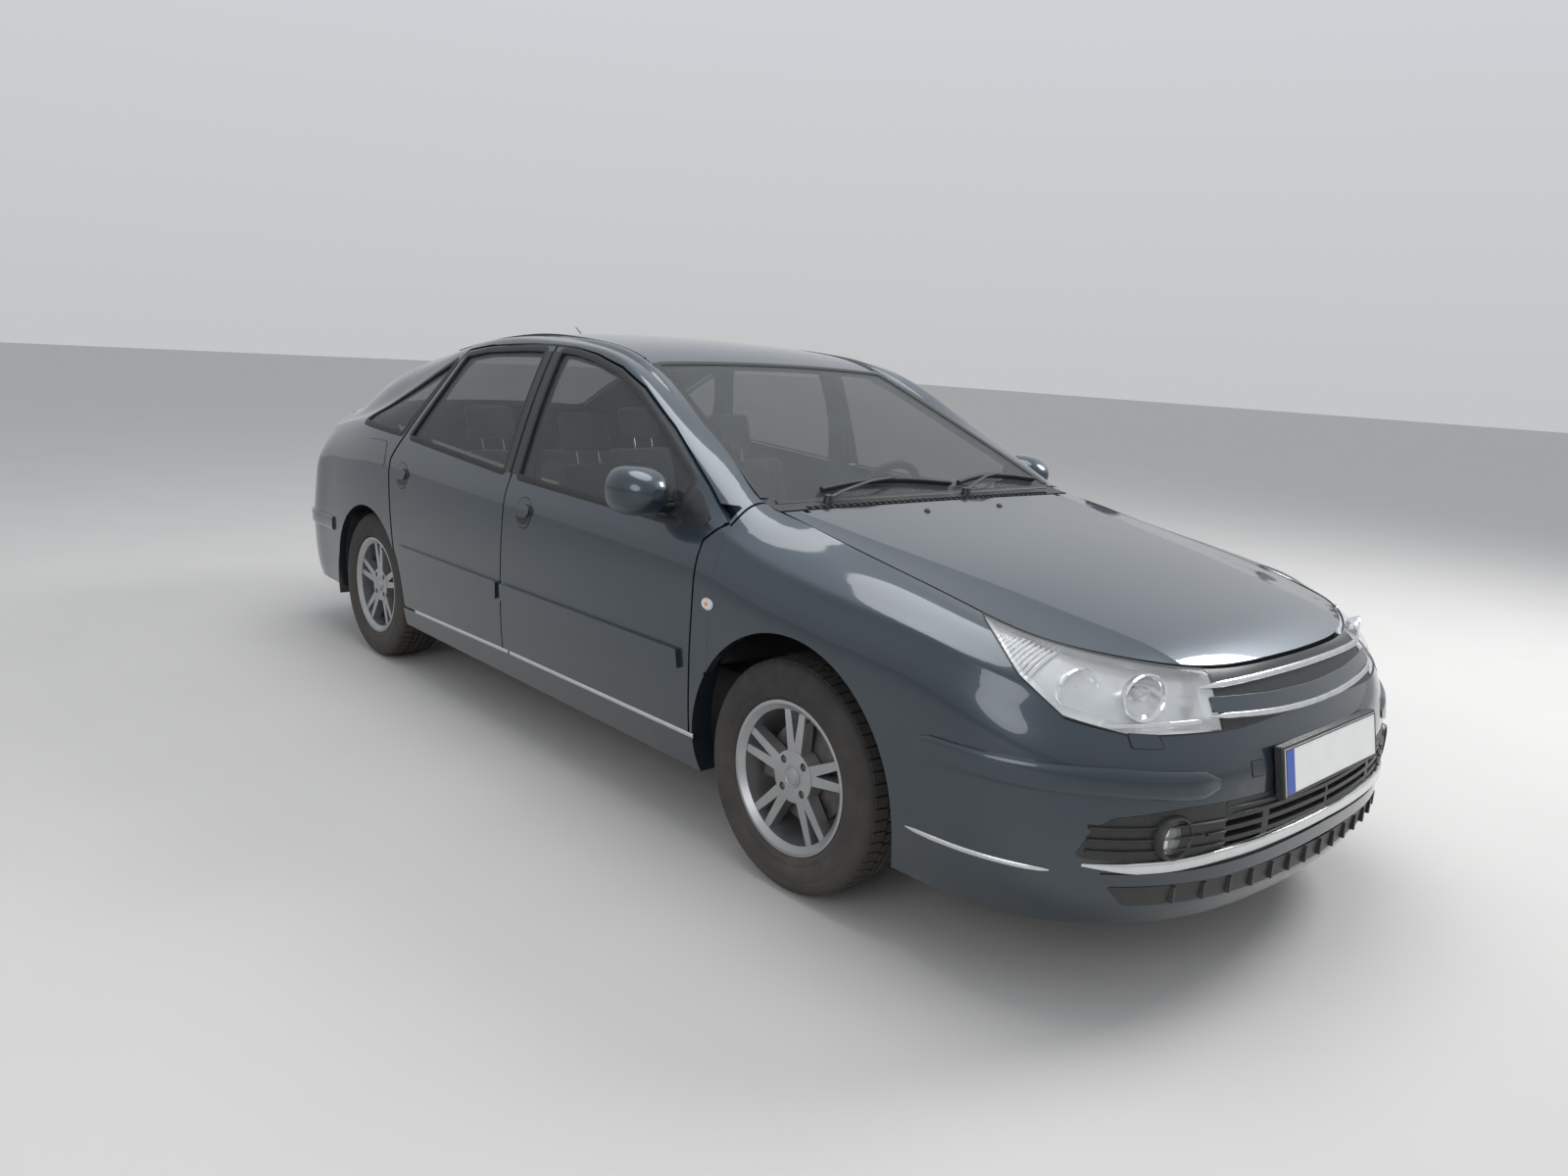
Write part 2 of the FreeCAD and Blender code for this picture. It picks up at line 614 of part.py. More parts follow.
def build_nose(skin, lamp):
    """Bumper with its grille opening, the slim grille above it and the lower grille's bars."""
    lower = across(FRONT_BUMPER, 0, 1000)
    bumper = skin.common(lower).cut(lamp).cut(FRONT_ARCH)
    mouth = box(2000, 2600, -50, LOWER_GRILLE_HALF_WIDTH, *LOWER_GRILLE_Z)
    grille_zone = bumper.common(mouth)
    bumper = largest(bumper.cut(mouth))
    bottom, top = LOWER_GRILLE_Z
    pitch = (top - bottom) / LOWER_GRILLE_BARS
    bars = []
    for i in range(LOWER_GRILLE_BARS):
        z = bottom + i * pitch
        bars.append(box(2000, 2600, -50, 1000, z, z + pitch * GRILLE_BAR_SHARE))
    for y in LOWER_GRILLE_POSTS:
        bars.append(box(2000, 2600, y, y + GRILLE_POST_WIDTH, bottom, top))
    lower_grille = grille_zone.common(bars[0].multiFuse(bars[1:]))
    upper = skin.common(box(2100, 2600, 0, UPPER_GRILLE_HALF_WIDTH, 640, 900)).cut(lower).cut(lamp)
    return both_sides(bumper), both_sides(largest(lower_grille)), both_sides(largest(upper))


def build_rear(skin):
    zone = across(REAR_BUMPER, 0, 1000)
    panel = box(-2600, -2200, 0, LID_TAIL_Y + SHUT_GAP, 600, LID_BOTTOM_Z - SHUT_GAP)
    bumper = skin.common(zone.fuse(panel)).cut(REAR_ARCH)
    lamp = skin.common(across(TAIL_LAMP, LID_TAIL_Y + SHUT_GAP, 1000)).cut(zone)
    return both_sides(largest(bumper)), largest(lamp)


def revolve_y(profile, centre):
    """A ring about a level axis across the car from (radius, y) corner points."""
    wire = Part.makePolygon([V(r, y, 0) for r, y in profile] + [V(profile[0][0], profile[0][1], 0)])
    ring = Part.Face(wire).revolve(V(0, 0, 0), V(0, 1, 0), 360)
    ring.translate(centre)
    return ring


def faceted_ring(profile, count, centre):
    """A ring of flat facets about a level axis across the car, from (radius, y) corner points."""
    rings = []
    for i in range(count):
        a = 2 * math.pi * i / count
        rings.append([V(r * math.cos(a), y, r * math.sin(a)) for r, y in profile])
    faces = []
    for i, first in enumerate(rings):
        second = rings[(i + 1) % count]
        for k in range(len(profile)):
            n = (k + 1) % len(profile)
            faces.append(Part.Face(Part.makePolygon([first[k], first[n], second[n], second[k], first[k]])))
    shell = Part.Shell(faces)
    solid = Part.Solid(shell)
    if solid.Volume < 0:
        solid.reverse()
    solid.translate(centre)
    return solid


def build_tyre(centre):
    w, r = TYRE_WIDTH / 2, TYRE_RADIUS
    inner = (RIM_RADIUS - 8) / math.cos(math.pi / TYRE_FACETS) + BEAD_GAP
    profile = (
        (inner, -w + 16), (inner + 12, -w + 6), (r - 58, -w), (r - 20, -w + 8), (r, -w + 34),
        (r, w - 34), (r - 20, w - 8), (r - 58, w), (inner + 12, w - 6), (inner, w - 16),
    )
    return faceted_ring(profile, TYRE_FACETS, centre)


def build_rim(centre, outward):
    """Alloy rim: a rolled barrel, ten spokes in pairs and a hub, with its face turned outward."""
    w, r = RIM_WIDTH / 2, RIM_RADIUS - 8
    barrel = revolve_y(
        ((r, -w), (r, w), (r - 9, w), (r - 26, w - 14), (r - 28, -w + 20), (r - 14, -w)), V(0, 0, 0))
    face_y = w - 16
    hub = Part.makeCylinder(HUB_RADIUS, 46, V(0, face_y - 52, 0), V(0, 1, 0))
    solid = barrel.fuse(hub)
    spoke = Part.makeLoft([
        Part.makePolygon([V(a, y, b) for a, y, b in (
            (-w0, y0, z0), (w0, y0, z0), (w0, y1, z0), (-w0, y1, z0), (-w0, y0, z0))])
        for w0, y0, y1, z0 in ((15, face_y - 46, face_y - 8, HUB_RADIUS - 12), (11, face_y - 34, face_y, r - 18))
    ], True)
    spokes = []
    for i in range(SPOKE_PAIRS):
        for side in (-1, 1):
            one = spoke.copy()
            one.rotate(V(0, 0, 0), V(0, 1, 0), i * 360.0 / SPOKE_PAIRS + side * SPOKE_SPLAY)
            spokes.append(one)
    solid = solid.multiFuse(spokes)
    solid = solid.cut(Part.makeCylinder(SPINDLE_RADIUS + PIN_PLAY, 34, V(0, face_y - 53, 0), V(0, 1, 0)))
    for i in range(BOLTS):
        a = math.radians(i * 360.0 / BOLTS + 45)
        x, z = BOLT_CIRCLE * math.cos(a), BOLT_CIRCLE * math.sin(a)
        solid = solid.cut(Part.makeCylinder(11, 30, V(x, face_y - 24, z), V(0, 1, 0)))
    if not outward:
        solid = mirrored(solid)
    solid.translate(centre)
    return solid


def steering_axis():
    foot, head = V(*BALL_JOINT), V(*STRUT_TOP)
    axis = head - foot
    axis.normalize()
    return foot, axis


def build_knuckle():
    """Left hub carrier with its disc, caliper, strut, steering arm, ball pin and spindle."""
    hub_y = FRONT_TRACK / 2 + RIM_WIDTH / 2 - HUB_DEPTH - KNUCKLE_CLEARANCE
    level = V(0, 1, 0)
    disc = Part.makeCylinder(DISC_RADIUS, 22, V(FRONT_AXLE_X, hub_y - 22, TYRE_RADIUS), level)
    boss = Part.makeCylinder(58, 120, V(FRONT_AXLE_X, hub_y - 142, TYRE_RADIUS), level)
    spindle = Part.makeCylinder(SPINDLE_RADIUS, SPINDLE_REACH, V(FRONT_AXLE_X, hub_y - 4, TYRE_RADIUS), level)
    caliper = box(FRONT_AXLE_X - 165, FRONT_AXLE_X - 90, hub_y - 62, hub_y + 4, TYRE_RADIUS - 55, TYRE_RADIUS + 55)
    arm = box(FRONT_AXLE_X - 150, FRONT_AXLE_X, hub_y - 132, hub_y - 100, TYRE_RADIUS - 60, TYRE_RADIUS - 25)
    foot, axis = steering_axis()
    length = (V(*STRUT_TOP) - foot).Length
    strut = Part.makeCylinder(24, length - 60, foot + axis * 60, axis)
    spring = Part.makeCylinder(50, 140, foot + axis * (length - 140), axis)
    carrier = Part.makeCylinder(30, 70, foot + axis * 8, axis)
    ball_pin = Part.makeCylinder(BALL_PIN_RADIUS, 60, foot - axis * 40, axis)
    return disc.multiFuse([boss, spindle, caliper, arm, strut, spring, carrier, ball_pin]).removeSplitter()


def build_floor(side, wings, rear_bumper):
    """Floor with its tunnel, raised rear part and rear wheel houses."""
    pan = box(BOOT_STEP_X, FIREWALL_X, -845, 845, FLOOR_Z, FLOOR_Z + FLOOR_THICK)
    tunnel = box(BOOT_STEP_X, FIREWALL_X, -TUNNEL_HALF_WIDTH, TUNNEL_HALF_WIDTH, FLOOR_Z, FLOOR_Z + TUNNEL_HEIGHT)
    tunnel_hollow = box(BOOT_STEP_X - 50, FIREWALL_X + 60, -TUNNEL_HALF_WIDTH + 30, TUNNEL_HALF_WIDTH - 30,
                        FLOOR_Z - 10, FLOOR_Z + TUNNEL_HEIGHT - 30)
    boot_floor = box(-2200, BOOT_STEP_X, -800, 800, BOOT_FLOOR_Z, BOOT_FLOOR_Z + FLOOR_THICK)
    step = box(BOOT_STEP_X - FLOOR_THICK, BOOT_STEP_X, -700, 700, FLOOR_Z, BOOT_FLOOR_Z + FLOOR_THICK)
    floor = pan.fuse(tunnel).cut(tunnel_hollow).fuse(boot_floor).fuse(step)
    for sign in (1, -1):
        base = V(REAR_AXLE_X, sign * WHEEL_HOUSE_Y, TYRE_RADIUS)
        house = Part.makeCylinder(REAR_ARCH_RADIUS + 8, 300, base, V(0, sign, 0))
        room = Part.makeCylinder(REAR_ARCH_RADIUS, 400, base + V(0, sign * 8, 0), V(0, sign, 0))
        house = house.common(box(-2100, -1000, -900, 900, FLOOR_Z, 1000))
        floor = floor.fuse(house).cut(room)
        low, high = sorted((sign * (WHEEL_HOUSE_Y - 10), sign * (WHEEL_HOUSE_Y + 20)))
        floor = floor.cut(box(REAR_AXLE_X - 170, REAR_AXLE_X + 170, low, high, 0, BOOT_FLOOR_Z))
        front = Part.makeCylinder(FRONT_ARCH_RADIUS + 8, 500, V(FRONT_AXLE_X, sign * 440, TYRE_RADIUS), V(0, sign, 0))
        floor = floor.cut(front)
    return largest(floor.cut(side).cut(mirrored(side)).cut(wings).cut(rear_bumper))


def build_bulkhead(side, wings, cowl):
    """Wall ahead of the cabin with a shelf out to each strut's top."""
    wall = box(FIREWALL_X, FIREWALL_X + 14, -835, 835, FLOOR_Z, 985)
    for sign in (1, -1):
        wall = wall.cut(Part.makeCylinder(FRONT_ARCH_RADIUS + 8, 500, V(FRONT_AXLE_X, sign * 440, TYRE_RADIUS),
                                          V(0, sign, 0)))
    _, axis = steering_axis()
    tower = box(FIREWALL_X + 14, FRONT_AXLE_X + 90, STRUT_TOP[1] - 80, 790, STRUT_TOP[2] + 12, STRUT_TOP[2] + 24)
    tower = tower.cut(Part.makeCylinder(14 + PIN_PLAY, 60, V(*STRUT_TOP) - axis * 10, axis))
    wall = wall.fuse(tower).fuse(mirrored(tower))
    return largest(wall.cut(side).cut(mirrored(side)).cut(wings).cut(cowl))


def build_front_subframe():
    """Side rails with a cross beam under the engine, a crash beam and the two lower arms."""
    foot, axis = steering_axis()
    arm_z = foot.z - 8
    pieces = [box(1300, 1400, -RAIL_Y, RAIL_Y, 215, 265), box(2205, 2250, -540, 540, 470, 560)]
    for sign in (1, -1):
        low, high = sorted((sign * RAIL_Y, sign * (RAIL_Y - 70)))
        pieces.append(box(FIREWALL_X + 14, 2230, low, high, 480, 560))
        pieces.append(box(1300, 1400, low, high, 215, 560))
        pieces.append(box(FIREWALL_X + 14, 1400, low, high, 215, 265))
        low, high = sorted((sign * (RAIL_Y - 70), sign * (foot.y + 24)))
        pieces.append(box(FRONT_AXLE_X - 22, FRONT_AXLE_X + 22, low, high, arm_z - 24, arm_z))
    pieces.append(box(FRONT_AXLE_X - 22, FRONT_AXLE_X + 22, -RAIL_Y, RAIL_Y, arm_z - 24, 220))
    frame = pieces[0].multiFuse(pieces[1:]).removeSplitter()
    bore = Part.makeCylinder(BALL_PIN_RADIUS + PIN_PLAY, 80, foot - axis * 55, axis)
    return frame.cut([bore, mirrored(bore)])


def build_rear_axle():
    """Twist beam with trailing arms, springs up to the floor, and the two rear discs."""
    hub_y = REAR_TRACK / 2 + RIM_WIDTH / 2 - HUB_DEPTH - KNUCKLE_CLEARANCE
    arm_in, arm_out = REAR_ARM_Y
    step_x = BOOT_STEP_X - FLOOR_THICK
    beam = Part.makeCylinder(42, 2 * arm_out, V(REAR_AXLE_X + 130, -arm_out, 290), V(0, 1, 0))
    pieces = []
    for sign in (1, -1):
        axis = V(0, sign, 0)
        disc_start, boss_start = sign * (hub_y - 20), sign * (arm_out - 4)
        pieces.append(Part.makeCylinder(125, 20, V(REAR_AXLE_X, disc_start, TYRE_RADIUS), axis))
        pieces.append(Part.makeCylinder(50, hub_y - 15 - (arm_out - 4), V(REAR_AXLE_X, boss_start, TYRE_RADIUS), axis))
        pieces.append(Part.makeCylinder(
            SPINDLE_RADIUS, SPINDLE_REACH, V(REAR_AXLE_X, sign * (hub_y - 4), TYRE_RADIUS), axis))
        low, high = sorted((sign * arm_in, sign * arm_out))
        pieces.append(box(REAR_AXLE_X - 60, step_x, low, high, 265, 320))
        pieces.append(box(step_x - 38, step_x, low, high, FLOOR_Z + 20, 360))
        low, high = sorted((sign * arm_in, sign * (arm_out + 30)))
        pieces.append(box(REAR_AXLE_X - 60, REAR_AXLE_X + 60, low, high, 265, 360))
        pieces.append(Part.makeCylinder(55, BOOT_FLOOR_Z - 320, V(REAR_AXLE_X, sign * 480, 320)))
    return beam.multiFuse(pieces).removeSplitter()


def build_exhaust():
    """Front pipe with its middle box, and the tail pipe with its rear silencer, hung from the floor."""
    z = EXHAUST_Z
    pipe = Part.makeCylinder(EXHAUST_RADIUS, 2080, V(-1120, 0, z), V(1, 0, 0))
    middle = box(-700, -100, -90, 90, z - 32, z + 30)
    over = Part.makeCylinder(EXHAUST_RADIUS, 570, V(-1120, 0, z), V(-0.94, -0.62, 0.0))
    tail_box = box(-2080, -1560, -330, -60, z, z + 150)
    outlet = Part.makeCylinder(28, 180, V(-2250, -270, z + 60), V(1, 0, 0))
    hangers = [box(x - 8, x + 8, -8, 8, z, FLOOR_Z + TUNNEL_HEIGHT - 30) for x in (-300, 500)]
    hangers += [box(-1900, -1880, -200, -180, z + 150, BOOT_FLOOR_Z)]
    return pipe.multiFuse([middle, over, tail_box, outlet] + hangers).removeSplitter()


def ring(radius, half, centre, axis):
    """A flat-sided hoop about any axis."""
    corners = [(radius - half, -half / 2), (radius, -half), (radius + half, -half / 2), (radius + half, half / 2),
               (radius, half), (radius - half, half / 2)]
    hoop = revolve_y(corners, V(0, 0, 0))
    hoop.rotate(V(0, 0, 0), V(0, 1, 0).cross(axis), math.degrees(V(0, 1, 0).getAngle(axis)))
    hoop.translate(centre)
    return hoop


def build_dashboard():
    """Fascia across the cabin with its instrument hood, column, steering wheel and centre console."""
    profile = ((FIREWALL_X, 640), (FIREWALL_X, 965), (850, 955), (700, 905), (640, 850), (640, 760), (760, 640))
    fascia = across(profile, -FASCIA_HALF_WIDTH, FASCIA_HALF_WIDTH)
    hood = box(650, 780, WHEEL_Y - 170, WHEEL_Y + 170, 860, 940)
    console = box(-120, 900, -115, 115, FLOOR_Z + TUNNEL_HEIGHT, 690).cut(box(-200, 560, -200, 200, 520, 700))
    axis = V(-0.9, 0, 0.42)
    axis.normalize()
    centre = V(WHEEL_X, WHEEL_Y, WHEEL_Z)
    column = Part.makeCylinder(24, 260, centre - axis * 260, axis)
    boss = Part.makeCylinder(62, 34, centre - axis * 24, axis)
    across_rim = box(-14, 14, -WHEEL_RADIUS, WHEEL_RADIUS, -14, 4)
    down_rim = box(-WHEEL_RADIUS, 0, -18, 18, -14, 4)
    spokes = across_rim.fuse(down_rim)
    spokes.rotate(V(0, 0, 0), V(0, 1, 0), -math.degrees(V(0, 0, 1).getAngle(axis)))
    spokes.translate(centre)
    return fascia.multiFuse([hood, console, column, boss, spokes, ring(WHEEL_RADIUS, 14, centre, axis)])


def build_seat(x, y, width, back_width, back_height, rests):
    """Cushion, leaning back and headrests on a low plinth; x is the back of the cushion."""
    low, high = y - width / 2, y + width / 2
    cushion = across(((x, SEAT_Z - 130), (x + SEAT_LENGTH, SEAT_Z - 130), (x + SEAT_LENGTH, SEAT_Z + 10), (x, SEAT_Z - 10)),
                     low, high, radius=35)
    back = across(((-110, -40), (0, -40), (10, back_height / 2), (-15, back_height), (-95, back_height)),
                  y - back_width / 2, y + back_width / 2, radius=28)
    leaning = [back]
    for rest_y in rests:
        leaning.append(across(((-80, back_height + 35), (-10, back_height + 25), (-12, back_height + 190),
                               (-70, back_height + 190)), y + rest_y - 120, y + rest_y + 120, radius=24))
        for post in (-50, 50):
            leaning.append(box(-46, -34, y + rest_y + post - 6, y + rest_y + post + 6, back_height - 20, back_height + 60))
    for piece in leaning:
        piece.rotate(V(0, 0, 0), V(0, 1, 0), -SEAT_LEAN)
        piece.translate(V(x + 60, 0, SEAT_Z - 60))
    plinth = box(x + 60, x + SEAT_LENGTH - 60, low + 50, high - 50, FLOOR_Z + FLOOR_THICK, SEAT_Z - 60)
    plinth = plinth.cut(box(-3000, 3000, -TUNNEL_HALF_WIDTH, TUNNEL_HALF_WIDTH, 0, FLOOR_Z + TUNNEL_HEIGHT))
    return cushion.multiFuse([plinth] + leaning).removeSplitter()


def build_mirror(door, glass):
    """Left door mirror: a rounded housing, hollow behind for its glass, on an arm from the door."""
    x, y, z = MIRROR_CENTRE
    housing = Part.makeLoft([squircle(x + ahead, y, z, MIRROR_HALF_WIDTH * share, MIRROR_HALF_HEIGHT * share)
                             for ahead, share in MIRROR_SECTIONS], True)
    hollow = Part.makeLoft([squircle(x + ahead, y, z, MIRROR_HALF_WIDTH * share, MIRROR_HALF_HEIGHT * share)
                            for ahead, share in MIRROR_HOLLOW], True)
    arm = box(x + 5, x + 75, 815, y - 40, z - 62, z - 28)
    return largest(arm.cut(door).cut(glass).fuse(housing).cut(hollow))


def squircle(x, y, z, half_width, half_height):
    """A closed rounded outline across the car, between an ellipse and a rectangle."""
    points = []
    for i in range(MIRROR_POINTS):
        a = 2 * math.pi * i / MIRROR_POINTS
        c, s = math.cos(a), math.sin(a)
        points.append(V(x, y + half_width * math.copysign(abs(c) ** 0.8, c),
                        z + half_height * math.copysign(abs(s) ** 0.8, s)))
    curve = Part.BSplineCurve()
    curve.interpolate(Points=points, PeriodicFlag=True)
    return Part.Wire(curve.toShape())


def save(name, shape):
    shape.exportStep("parts/" + name + ".step")


def main():
    os.makedirs("parts", exist_ok=True)
    lamp = headlamp_prism()
    wing = largest(NOSE_SKIN.common(across(FRONT_WING, 0, 1000)).cut(lamp).cut(FRONT_ARCH))
    headlamp = largest(NOSE_SKIN.common(lamp))
    side = build_body_side(wing)
    save("front_wings", pair(wing))
    save("headlamps", pair(headlamp))
    save("body_side_left", side)
    save("body_side_right", mirrored(side))
    for place, outline, window, cut in (("front", FRONT_DOOR, FRONT_WINDOW, None), ("rear", REAR_DOOR, REAR_WINDOW, DOOR_ARCH)):
        door, glass = build_door(outline, window, cut)
        if place == "front":
            mirror = build_mirror(door, glass)
        for name, flip in (("left", False), ("right", True)):
            save(place + "_door_" + name, mirrored(door) if flip else door)
            save(place + "_door_glass_" + name, mirrored(glass) if flip else glass)
    bonnet, cowl, windscreen, roof, lid, rear_glass = build_top()
    save("bonnet", bonnet)
    save("windscreen", windscreen)
    save("roof_panel", roof)
    save("tailgate", lid)
    save("tailgate_glass", rear_glass)
    bumper, lower_grille, upper_grille = build_nose(NOSE_SKIN, lamp)
    save("front_bumper", bumper)
    save("lower_grille", lower_grille)
    save("upper_grille", upper_grille)
    rear_bumper, tail_lamp = build_rear(TAIL_SKIN)
    save("rear_bumper", rear_bumper)
    save("tail_lamps", pair(tail_lamp))
    quarter = largest(side_slab((GLASS_INSET, GLASS_INSET), (GLASS_INSET + GLASS_THICK,) * 2, BODY_SPAN)
                      .common(across(QUARTER_WINDOW, 0, 1000, radius=10)))
    save("quarter_glass", pair(quarter))
    save("cowl", cowl)
    for name, flip in (("left", False), ("right", True)):
        turn = mirrored if flip else (lambda shape: shape)
        save("door_mirror_" + name, turn(mirror))
        save("front_knuckle_" + name, turn(build_knuckle()))
        for place, x, track in (("front", FRONT_AXLE_X, FRONT_TRACK), ("rear", REAR_AXLE_X, REAR_TRACK)):
            centre = V(x, (-track if flip else track) / 2, TYRE_RADIUS)
            save(place + "_tyre_" + name, build_tyre(centre))
            save(place + "_rim_" + name, build_rim(centre, not flip))
    wings = pair(wing)
    save("floor_pan", build_floor(side, wings, rear_bumper))
    save("bulkhead", build_bulkhead(side, wings, cowl))
    save("front_subframe", build_front_subframe())
    save("rear_axle", build_rear_axle())
    save("exhaust", build_exhaust())
    save("engine_block", box(1120, 1680, -320, 320, 265, 760))
    save("dashboard", build_dashboard())
    front_seat = build_seat(-260, 370, 500, 500, 560, (0,))
    save("front_seats", pair(front_seat))
    save("rear_seat", build_seat(-1000, 0, 1260, 1120, 540, (-400, 400)))


if __name__ == "__main__":
    main()
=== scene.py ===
"""Family saloon car: finishes, trim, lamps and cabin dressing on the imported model, on a plain floor."""

import json
import math

import bmesh
import bpy
import numpy as np
from bpy.props import BoolProperty, FloatProperty, FloatVectorProperty, IntProperty, PointerProperty
from mathutils import Matrix, Vector
from mathutils.bvhtree import BVHTree
from mathutils.geometry import delaunay_2d_cdt
from mathutils.interpolate import poly_3d_calc

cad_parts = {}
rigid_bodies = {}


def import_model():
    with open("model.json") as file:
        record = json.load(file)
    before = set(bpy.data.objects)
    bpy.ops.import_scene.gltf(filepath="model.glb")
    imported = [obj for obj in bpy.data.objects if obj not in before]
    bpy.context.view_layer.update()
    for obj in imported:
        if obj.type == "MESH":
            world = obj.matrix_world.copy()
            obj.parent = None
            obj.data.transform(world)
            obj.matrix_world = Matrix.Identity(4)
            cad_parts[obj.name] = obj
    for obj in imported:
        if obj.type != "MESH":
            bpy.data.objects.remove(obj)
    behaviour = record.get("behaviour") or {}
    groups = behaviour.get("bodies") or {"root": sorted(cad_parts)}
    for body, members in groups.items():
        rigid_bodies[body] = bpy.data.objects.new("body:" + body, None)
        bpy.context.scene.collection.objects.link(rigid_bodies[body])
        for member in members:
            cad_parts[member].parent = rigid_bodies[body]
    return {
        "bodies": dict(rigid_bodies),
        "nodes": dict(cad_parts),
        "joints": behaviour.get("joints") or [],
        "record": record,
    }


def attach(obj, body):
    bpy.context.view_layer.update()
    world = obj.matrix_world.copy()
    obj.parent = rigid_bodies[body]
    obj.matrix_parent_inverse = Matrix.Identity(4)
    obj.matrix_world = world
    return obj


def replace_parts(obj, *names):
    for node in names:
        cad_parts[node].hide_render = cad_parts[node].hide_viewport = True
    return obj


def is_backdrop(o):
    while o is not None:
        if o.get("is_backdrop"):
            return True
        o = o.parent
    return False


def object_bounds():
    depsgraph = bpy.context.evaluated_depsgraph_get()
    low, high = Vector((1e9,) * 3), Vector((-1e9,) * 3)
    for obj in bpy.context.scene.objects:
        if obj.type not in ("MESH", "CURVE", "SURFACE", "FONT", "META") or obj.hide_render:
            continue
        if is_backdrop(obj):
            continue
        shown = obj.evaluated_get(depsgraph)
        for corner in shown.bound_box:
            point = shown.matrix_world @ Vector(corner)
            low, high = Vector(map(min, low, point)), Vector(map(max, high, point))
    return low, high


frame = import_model()
CAD_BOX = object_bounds()

bl_info = {
    "name": "Family saloon car",
    "version": (1, 0, 0),
    "blender": (4, 5, 0),
    "location": "View3D > Sidebar > Saloon",
    "description": "Finishes, trim, lamps and cabin dressing of a family saloon car",
    "category": "Object",
}

SIDES = (("left", 1), ("right", -1))
NODES = frame["nodes"]

# Side sections, front to rear, in millimetres: x, waist y, shoulder y z, belt y z, window top y z,
# rail y z, roof edge y. They are the car's own sections, and give its paint a smooth shade.
SIDE_SECTIONS = (
    (1750, 886, 872, 738, 852, 785, 815, 825, 765, 853, 700),
    (1545, 889, 876, 755, 856, 805, 820, 850, 766, 884, 700),
    (1340, 890, 878, 775, 858, 828, 822, 873, 767, 908, 698),
    (1150, 889, 878, 800, 857, 858, 820, 905, 766, 942, 697),
    (1010, 888, 876, 830, 852, 895, 812, 948, 762, 986, 692),
    (850, 888, 874, 848, 846, 918, 795, 1015, 752, 1062, 662),
    (600, 888, 873, 855, 845, 930, 742, 1165, 700, 1200, 612),
    (250, 888, 873, 862, 845, 944, 690, 1340, 645, 1369, 555),
    (-170, 888, 873, 868, 845, 958, 679, 1390, 643, 1425, 572),
    (-750, 887, 872, 880, 844, 985, 680, 1368, 643, 1407, 566),
    (-1100, 886, 871, 890, 842, 1005, 686, 1277, 650, 1330, 566),
    (-1410, 884, 868, 893, 838, 1012, 712, 1160, 662, 1245, 572),
    (-1750, 876, 855, 890, 818, 985, 738, 1060, 674, 1140, 588),
    (-1950, 868, 842, 880, 800, 958, 738, 1015, 676, 1056, 600),
)
NOSE_PROFILE = (
    (2306, 185), (2364, 262), (2372, 350), (2371, 440), (2364, 520), (2349, 585),
    (2326, 640), (2304, 682), (2286, 714), (2270, 742), (2252, 768),
)
TAIL_PROFILE = (
    (-2290, 215), (-2350, 310), (-2370, 400), (-2372, 500), (-2360, 580), (-2335, 660),
    (-2322, 750), (-2318, 840), (-2322, 920), (-2326, 975), (-2312, 1010),
)
BONNET_SECTIONS = (
    (2330, 728, 150), (2252, 768, 95), (2165, 806, 55), (1985, 848, 36), (1750, 890, 26),
    (1545, 923, 20), (1340, 953, 13), (1150, 982, 6), (1010, 1003, 2), (960, 1010, 1),
)
ROOF_SECTIONS = (
    (1100, 958, 0), (1010, 1003, 0), (850, 1089, 6), (600, 1215, 14), (400, 1310, 19), (250, 1375, 24),
    (130, 1415, 27), (-20, 1444, 29), (-170, 1458, 30), (-400, 1467, 32), (-620, 1457, 34),
    (-950, 1419, 36), (-1220, 1369, 36), (-1420, 1322, 36), (-1730, 1219, 34), (-1960, 1110, 32),
    (-2150, 1036, 32), (-2250, 1020, 40), (-2350, 1010, 55), (-2400, 1005, 65),
)
ROUND_ANGLES = (78.0, 62.0, 47.0, 33.0, 20.0, 7.0, -7.0, -20.0)
FRONT_SQUARENESS, REAR_SQUARENESS = 2.6, 3.1
CROWN_Y, CROWN_POWER = 700.0, 2.2
CROWN_COLUMNS = (-760, -560, -300, 0, 300, 560, 760)
BONNET_JOIN_X = 1048.5
SKIN_STEPS = 7
SKIN_REACH = 0.003
CORNER_LIFT_POWER = 1.4
DOWN = (0, 0, -1)
CORNER_STEPS = 4
SEAL_WIDTH = 0.013

# The two folds on the bonnet: their y at x zero and slope in plan, how far their relief reaches and how deep
BONNET_FOLD = (0.8327, -0.1818)
BONNET_FOLD_REACH = 0.10
BONNET_FOLD_DEPTH = 0.022

# Stage: the floor's half size, the lamps' name, place, aim, size and power, and the camera that the
# photograph was solved for, with its focal length in pixels of a picture 1600 pixels wide
FLOOR_HALF = 60
LAMPS = (
    ("Key lamp", (3.0, 5.5, 5.5), (0.5, 0, 0.6), 3.0, 380),
    ("Top lamp", (0.0, 0.0, 6.5), (0, 0, 0), 5.0, 220),
    ("Near lamp", (3.5, -7.0, 3.2), (0.3, 0, 0.6), 4.0, 110),
)
PICTURE_WIDTH, FOCAL_LENGTH, SENSOR_WIDTH = 1600, 1138.06, 36.0
CAMERA_PLACE = (3.3752, -2.7754, 1.4142)
CAMERA_YAW, CAMERA_PITCH, CAMERA_ROLL = 2.3992, 0.2042, 0.0582

# Wheels: place, x and y of each centre, and the height of the axles
AXLES = (("front", 1.340, .765), ("rear", -1.410, .750))
AXLE_HEIGHT = .321
BOLT_CIRCLE, BOLT_FACE = .054, .056
VALVE_RADIUS, VALVE_FACE = .188, .060
HUB_FACE = .0735

